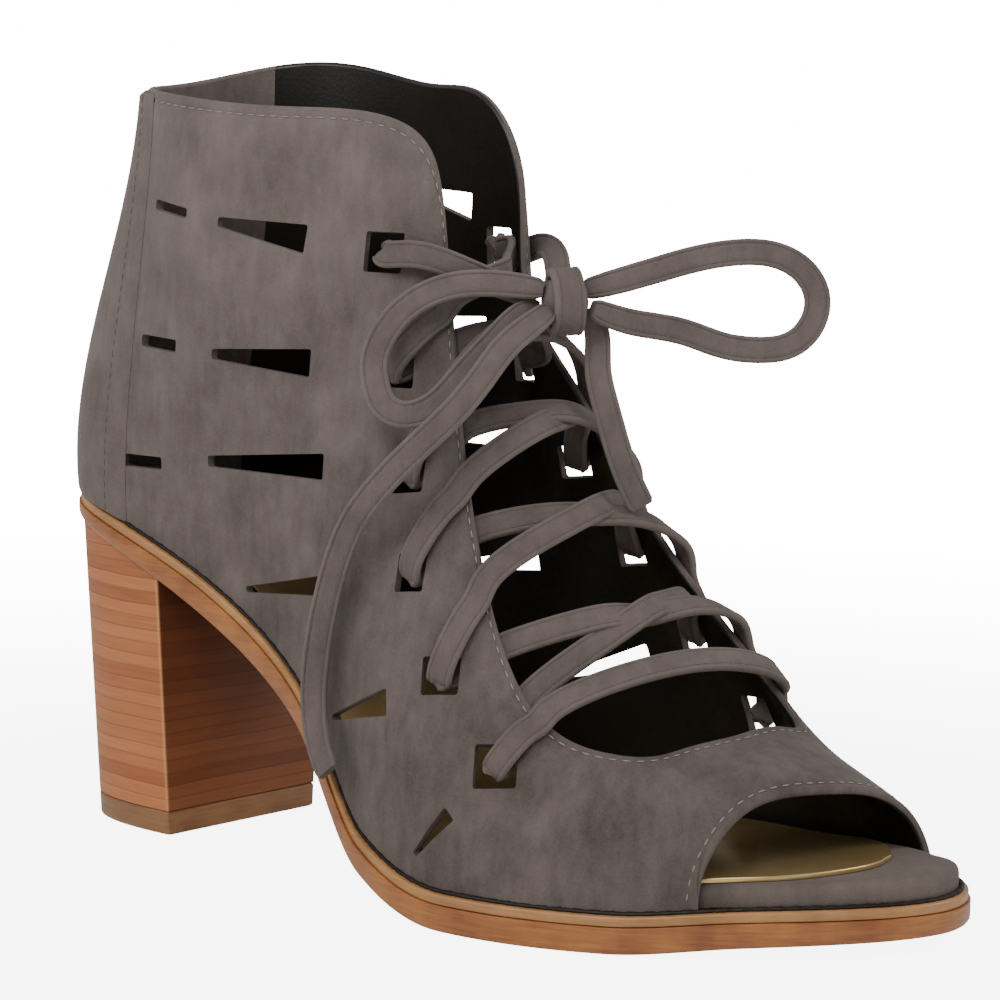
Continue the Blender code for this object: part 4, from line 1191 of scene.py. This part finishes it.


# Soft troughs (-) and ridges (+) laid where the laced leather is pulled
CREASES = table("side along up turn long wide deep", [
    (1, 112.0, 126.0, 8.0, 16.0, 5.0, -0.35),
    (1, 119.0, 102.0, 20.0, 17.0, 5.0, -0.35),
    (1, 127.0, 82.0, 28.0, 16.0, 5.0, -0.30),
    (1, 140.0, 62.0, 35.0, 15.0, 5.0, -0.30),
    (1, 160.0, 22.0, 75.0, 26.0, 8.0, -0.35),
    (1, 172.0, 24.0, 80.0, 22.0, 7.0, 0.30),
    (1, 66.0, 74.0, 40.0, 34.0, 10.0, -0.40),
    (1, 54.0, 64.0, 42.0, 30.0, 10.0, 0.35),
    (-1, 66.0, 74.0, 40.0, 34.0, 10.0, -0.40),
    (-1, 170.0, 22.0, 75.0, 26.0, 8.0, -0.35),
])


def crease_push(points, u):
    push = np.zeros(len(points))
    side = np.where(u % 1.0 <= TIP_SHARE, 1, -1)
    for row in CREASES:
        a = math.radians(row["turn"])
        x, z = points[:, 0] - row["along"], points[:, 2] - row["up"]
        run = x * math.cos(a) + z * math.sin(a)
        off = z * math.cos(a) - x * math.sin(a)
        near = np.exp(-(run / row["long"] * 1.6) ** 2 - (off / row["wide"] * 1.6) ** 2)
        push += row["deep"] * near * (side == row["side"])
    return push


def round_edge(p, n, beyond, steps=7):
    """points over the edge, from the outer face to the inner one, the edge ending at p"""
    half = WALL / 2
    return [p - n * half + (n * math.cos(a) * half + beyond * (math.sin(a) - 1) * half)
            for a in np.linspace(0, np.pi, steps + 2)[1:-1]]


def make_wall():
    u, low = wall_columns()
    rows, from_top, from_low = wall_rows(u, low)
    open_toe = low > 0.02

    def on_seat(ring):
        ring[~open_toe, 2] = sole_top(ring[~open_toe, 0]) + SEAT

    outer, inner = [], []
    for k in range(len(rows)):
        p = skin(u, rows[k])
        n = skin_normal(u, np.minimum(rows[k], 0.999))
        groove = np.exp(-((from_top[k] - GROOVE_FROM_EDGE) / 0.55) ** 2)
        groove += np.exp(-((from_low[k] - GROOVE_FROM_EDGE) / 0.55) ** 2) * open_toe
        inner.append(p - n * WALL)
        if k == 0:
            on_seat(p)
            on_seat(inner[0])
        outer.append(p + n * (crease_push(p, u) - GROOVE_DEEP * groove)[:, None])
    top_n = skin_normal(u, np.full(len(u), 0.999))
    top_way = unit(skin(u, np.ones(len(u))) - skin(u, np.full(len(u), 0.99)))
    low_way = unit(skin(u, low) - skin(u, low + 0.01)) * open_toe[:, None]
    over_top = round_edge(outer[-1], top_n, top_way)
    over_low = round_edge(outer[0], skin_normal(u, low), low_way)
    for ring in over_low:
        on_seat(ring)
    for step, drop in enumerate((1.0, 0.45, 0.1)):
        for face in (outer, inner):
            face[-1 - step] = face[-1 - step] - top_way * drop * WALL / 2
            face[step] = face[step] - low_way * drop * WALL / 2
    loop = outer + over_top + inner[::-1] + over_low[::-1]
    return u, np.array(loop), len(outer), len(over_top)


# %% One closed wall with its three finishes
BACK_PATCH = 0.06


def build_wall():
    u, loop, faces_up, over = make_wall()
    rows, count = loop.shape[:2]
    faces, kinds = [], []
    lining = range(faces_up + over - 3, 2 * faces_up + over + 2)
    near_back = np.minimum(u % 1.0, 1 - u % 1.0) < BACK_PATCH
    for r in range(rows):
        a, b = r * count, ((r + 1) % rows) * count
        for k in range(count):
            n = (k + 1) % count
            faces.append((a + k, a + n, b + n, b + k))
            kinds.append(1 if r in lining and not near_back[k] else 0)
    wall = link_mesh("upper_wall", loop.reshape(-1, 3), faces, SUEDE, 50.0)
    wall.data.materials.append(LINING)
    wall.data.polygons.foreach_set("material_index", kinds)
    return wall


UPPER = build_wall()
print("wall:", len(UPPER.data.polygons), "faces")

# %% [markdown]
# ## The cut-outs
#
# On the real shoe a steel knife stamps the openings through suede and lining together. A
# Boolean with one cutter made of thirty small wedges does the same, and it lends the wall its
# own material, so that the cut edge shows raw suede. The corners of the knife are slightly
# round, as a sharp corner would tear.

# %% Cutters with rounded corners
def cutter_outline(row, side, depth, corner=0.7):
    (a, n_a), (b, n_b) = (surface_place(find_share(side, *end), 0.0) for end in cut_places(row, side))
    normal = unit(n_a + n_b)
    across = unit(np.cross(normal, unit(b - a)))
    if across[2] < 0:
        across = -across
    back, front = across * row["back_high"] / 2, across * row["front_high"] / 2
    square = [a - back, b - front, b + front, a + back]
    points = []
    for k, here in enumerate(square):
        before, after = square[k - 1] - here, square[(k + 1) % 4] - here
        size = min(corner, 0.35 * np.linalg.norm(before), 0.35 * np.linalg.norm(after))
        first, last = here + unit(before) * size, here + unit(after) * size
        for t in (0.0, 0.33, 0.67, 1.0):
            points.append(first * (1 - t) ** 2 + here * 2 * t * (1 - t) + last * t * t + normal * depth)
    return points


def make_cutter():
    points, faces = [], []
    for row in CUTS:
        for side in (1, -1):
            base, m = len(points), 16
            points += cutter_outline(row, side, -6.0) + cutter_outline(row, side, 5.0)
            faces += [tuple(base + k for k in range(m))[::-1], tuple(base + m + k for k in range(m))]
            for k in range(m):
                n = (k + 1) % m
                faces.append((base + k, base + n, base + m + n, base + m + k))
    return link_mesh("cutting_knife", points, faces, CUT_EDGE)


def cut_openings(wall):
    knife = make_cutter()
    step = wall.modifiers.new("knife", "BOOLEAN")
    step.operation = "DIFFERENCE"
    step.solver = "EXACT"
    step.material_mode = "TRANSFER"
    step.object = knife
    graph = bpy.context.evaluated_depsgraph_get()
    cut = bpy.data.meshes.new_from_object(wall.evaluated_get(graph))
    wall.modifiers.remove(step)
    bpy.data.objects.remove(knife)
    wall.data = cut
    cut.name = "upper_wall"
    cut.set_sharp_from_angle(angle=math.radians(42))
    return wall


cut_openings(UPPER)
hand_over(UPPER, "upper", "suede")
print("cut wall:", len(UPPER.data.polygons), "faces,", len(UPPER.data.materials), "materials")

# %% [markdown]
# ## The padded strip down the back
#
# A soft strip covers the back seam from the collar to the sole. It is filled a little, so its
# face is rounded and its edges dive into a dark seam. It follows the same skin as the upper.

# %% Back strip
PANEL_SHARE = 0.088
PANEL_PROUD = 1.9


def make_back_panel(across=48, up=90):
    u = np.linspace(-PANEL_SHARE, PANEL_SHARE, across + 1)
    side = np.abs(u) / PANEL_SHARE
    puff = (1 - side ** 7) ** 0.6
    seam = 0.35 * np.exp(-((side - 0.86) / 0.022) ** 2)
    rows, back = [], []
    for v in np.linspace(0.004, 0.99, up + 1):
        p, n = skin(u, np.full(len(u), v)), skin_normal(u, np.full(len(u), v))
        ends = min(1.0, (0.99 - v) / 0.012 + 0.15, v / 0.01 + 0.3)
        rows.append(p + n * (0.12 + PANEL_PROUD * puff * ends ** 0.5 - seam)[:, None])
        back.append(p + n * 0.05)
    n, far = across + 1, (across + 1) * (up + 1)
    faces = []
    for r in range(up):
        for k in range(across):
            a, b, c, d = r * n + k, r * n + k + 1, (r + 1) * n + k + 1, (r + 1) * n + k
            faces += [(a, b, c, d), (far + b, far + a, far + d, far + c)]
        for a in (r * n, r * n + across):
            faces.append((a, a + n, far + a + n, far + a))
    for r in (0, up):
        faces += [(a, far + a, far + a + 1, a + 1) for a in range(r * n, r * n + across)]
    return link_mesh("back_strip", np.vstack(rows + back), faces, PANEL_SUEDE, 60.0)


PANEL_SUEDE = suede("padded suede of the back strip", "584e4b", "7a6f6b", 0.28)
PANEL = make_back_panel()
hand_over(PANEL, "back_panel", "suede")

# %% [markdown]
# ## Stitches
#
# A row of stitches is the same short thread again and again along a seam, the kind of thing
# Geometry Nodes repeat well: turn the seam into a curve, put a point every few millimetres, and
# set one thread on each. Instances have to become real meshes for the export, and the thread's
# material is set in the tree.

# %% A node tree that sews along a line
def sewing_tree():
    tree = bpy.data.node_groups.new("sewing", "GeometryNodeTree")
    face = tree.interface
    face.new_socket("Seam", in_out="INPUT", socket_type="NodeSocketGeometry")
    for label in ("Pitch", "Stitch length", "Thread"):
        face.new_socket(label, in_out="INPUT", socket_type="NodeSocketFloat")
    face.new_socket("Yarn", in_out="INPUT", socket_type="NodeSocketMaterial")
    face.new_socket("Sewn", in_out="OUTPUT", socket_type="NodeSocketGeometry")
    given = add_node(tree, "NodeGroupInput").outputs
    curve = add_node(tree, "GeometryNodeMeshToCurve", {0: given["Seam"]})
    holes = add_node(tree, "GeometryNodeCurveToPoints",
                     {"Curve": curve.outputs[0], "Length": given["Pitch"]}, mode="LENGTH")
    half_thread = add_node(tree, "ShaderNodeMath", {0: given["Thread"], 1: 0.5}, operation="MULTIPLY")
    half_stitch = add_node(tree, "ShaderNodeMath", {0: given["Stitch length"], 1: 0.5}, operation="MULTIPLY")
    size = add_node(tree, "ShaderNodeCombineXYZ",
                    {0: half_thread.outputs[0], 1: half_thread.outputs[0], 2: half_stitch.outputs[0]})
    thread = add_node(tree, "GeometryNodeMeshUVSphere", {"Segments": 6, "Rings": 6, "Radius": 1.0})
    sewn = add_node(tree, "GeometryNodeInstanceOnPoints",
                    {"Points": holes.outputs["Points"], "Instance": thread.outputs[0],
                     "Rotation": holes.outputs["Rotation"], "Scale": size.outputs[0]})
    real = add_node(tree, "GeometryNodeRealizeInstances", {0: sewn.outputs[0]})
    soft = add_node(tree, "GeometryNodeSetShadeSmooth", {0: real.outputs[0]})
    dyed = add_node(tree, "GeometryNodeSetMaterial", {0: soft.outputs[0], "Material": given["Yarn"]})
    add_node(tree, "NodeGroupOutput", {0: dyed.outputs[0]})
    return tree


SEWING = sewing_tree()


def sew(name, lines, pitch, stitch, thread, yarn):
    """stitches along lines of points in millimetres; the sizes are millimetres too"""
    mesh = bpy.data.meshes.new(name + "_seam")
    points, edges = [], []
    for line in lines:
        base = len(points)
        points += [tuple(p) for p in place(line)]
        edges += [(base + k, base + k + 1) for k in range(len(line) - 1)]
    mesh.from_pydata(points, edges, [])
    seam = bpy.data.objects.new(name + "_seam", mesh)
    bpy.context.scene.collection.objects.link(seam)
    step = seam.modifiers.new("sewing", "NODES")
    step.node_group = SEWING
    sockets = {s.name: s.identifier for s in SEWING.interface.items_tree if s.in_out == "INPUT"}
    step[sockets["Pitch"]] = pitch / 1000.0
    step[sockets["Stitch length"]] = stitch / 1000.0
    step[sockets["Thread"]] = thread / 1000.0
    step[sockets["Yarn"]] = yarn
    graph = bpy.context.evaluated_depsgraph_get()
    sewn = bpy.data.meshes.new_from_object(seam.evaluated_get(graph))
    bpy.data.objects.remove(seam)
    made = bpy.data.objects.new(name, sewn)
    bpy.context.scene.collection.objects.link(made)
    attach(made, "root")
    print(name, len(sewn.polygons), "faces")
    return made


# %% Thread, and the seams of the upper
def yarn(name, colour, second, sheen=0.2):
    """bonded polyester sewing thread: round, slightly shiny, twisted too finely to show"""
    made = Recipe(name, Roughness=0.5, Specular_IOR_Level=0.3, Sheen_Weight=sheen)
    return made.finish(made.blend(made.noise(0.8), colour, second))


YARN = yarn("grey thread", "7d746c", "a59d94")
# A near-black yarn recipe, used for the tube of painted shade under the lasted edge
GAP_SHADE_YARN = yarn("dark thread for the gap shade", "15100c", "231b15", 0.0)


def along_top(inset, lift, shares):
    """a line this far below the topline, on the outer face"""
    line = []
    for u in shares:
        v = np.linspace(1, 0.6, 60)
        at = np.interp(inset, distances(skin(np.full(60, u), v)), v)
        line.append(surface_place(np.array([u, at]), lift)[0])
    return np.array(line)


def along_peep(inset, lift, count=90):
    """a line this far above the edge of the peep toe, on the outer face"""
    u, low = peep_edge(np.linspace(0.10, np.pi - 0.10, count))
    rim = skin(u, low)
    away = unit(np.cross(skin_normal(u, low), unit(np.gradient(rim, axis=0))))
    up = unit(skin(u, low + 0.02) - rim)
    away *= np.sign((away * up).sum(1))[:, None]
    line = []
    for k in range(count):
        want = rim[k] + away[k] * inset
        here = np.array([u[k], low[k] + 0.02])
        for turn in range(6):
            at, slopes = skin_slopes(here)
            here = here + np.linalg.lstsq(slopes, want - at, rcond=None)[0]
        line.append(surface_place(here, lift)[0])
    return np.array(line)


TOP_SHARES = np.linspace(PANEL_SHARE + 0.004, 1 - PANEL_SHARE - 0.004, 420)
sew("edge_stitches", [along_top(GROOVE_FROM_EDGE, -0.12, TOP_SHARES), along_peep(GROOVE_FROM_EDGE, -0.1)],
    2.9, 1.8, 0.36, YARN)


def panel_seam(share, lift):
    return [[surface_place(np.array([side * share, v]), lift)[0] for v in np.linspace(0.02, 0.975, 120)]
            for side in (1, -1)]


sew("back_strip_stitches", panel_seam(PANEL_SHARE * 0.86, 1.42), 2.6, 1.8, 0.45,
    yarn("thread in the back strip", "544a45", "6a605a"))

# %% Stitched folds of the lace
def lace_seam(line, wide, across=LACE_WIDE / 2 - 1.15, lift=LACE_THICK / 2 - 0.12):
    wide, over = square_to(wide, line)
    return [(line + wide * a + over * b)[3:-3] for a in (across, -across) for b in (lift, -lift)]


seams = []
for made, line, wide in LOOSE.values():
    seams += [s[6:-1] for s in lace_seam(line, wide)]
for line, wide, face in LINES.values():
    seams += [s[14:-14] for s in lace_seam(line, wide)]
sew("lace_stitches", seams, 2.3, 1.2, 0.2, yarn("thread in the lace", "5b514c", "6b615b"))

# %% [markdown]
# ## The lasted edge
#
# Under the upper, where it is pulled round the insole and cemented, the gap between suede and
# rand lies in shade as a dark line. Its lower edge is uneven from the pleats of the leather. One thin
# dark tube, its thickness wobbling along it, gives both the line and its teeth as painted shade.

# %% Dark line round the sole
def feather_line(out, raise_by, first, last, count=500):
    u = np.linspace(first, last, count)
    e = EDGE(u) - (FEATHER_INSET - out) * outward(u)
    return np.column_stack([e, sole_top(e[:, 0]) + raise_by])


def make_gap_shade_line(steps=720, sides=8):
    line = feather_line(0.05, 0.35, 0.0, 1.0, steps + 1)
    turn = (2 * math.pi * np.arange(sides) / sides)[:, None]
    points = []
    for k in range(steps):
        side = np.append(outward(np.array([k / steps]))[0], 0.0)
        wobble = 0.5 + 0.16 * math.sin(k * 2.1) * math.sin(k * 0.83 + 1.0)
        points.append(line[k] + wobble * (np.cos(turn) * side + np.sin(turn) * np.array([0, 0, 1.0])))
    # The dark tube is painted shade: it darkens the shaded gap between upper and rand
    made = link_mesh("lasted_edge_shade", np.vstack(points), ring_faces(steps, sides, closed=True), GAP_SHADE_YARN)
    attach(made, "root")
    return made


make_gap_shade_line()

# %% Check the size against the imported frame
dressed_box = [[float(value) for value in corner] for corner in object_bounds()]
for low, high, axis in zip((0, 0, 0), (1, 1, 1), range(3)):
    cad = (cad_box[1][axis] - cad_box[0][axis]) * 1000
    now = (dressed_box[1][axis] - dressed_box[0][axis]) * 1000
    print("xyz"[axis], "packed", round(cad, 1), "mm, dressed", round(now, 1), "mm")
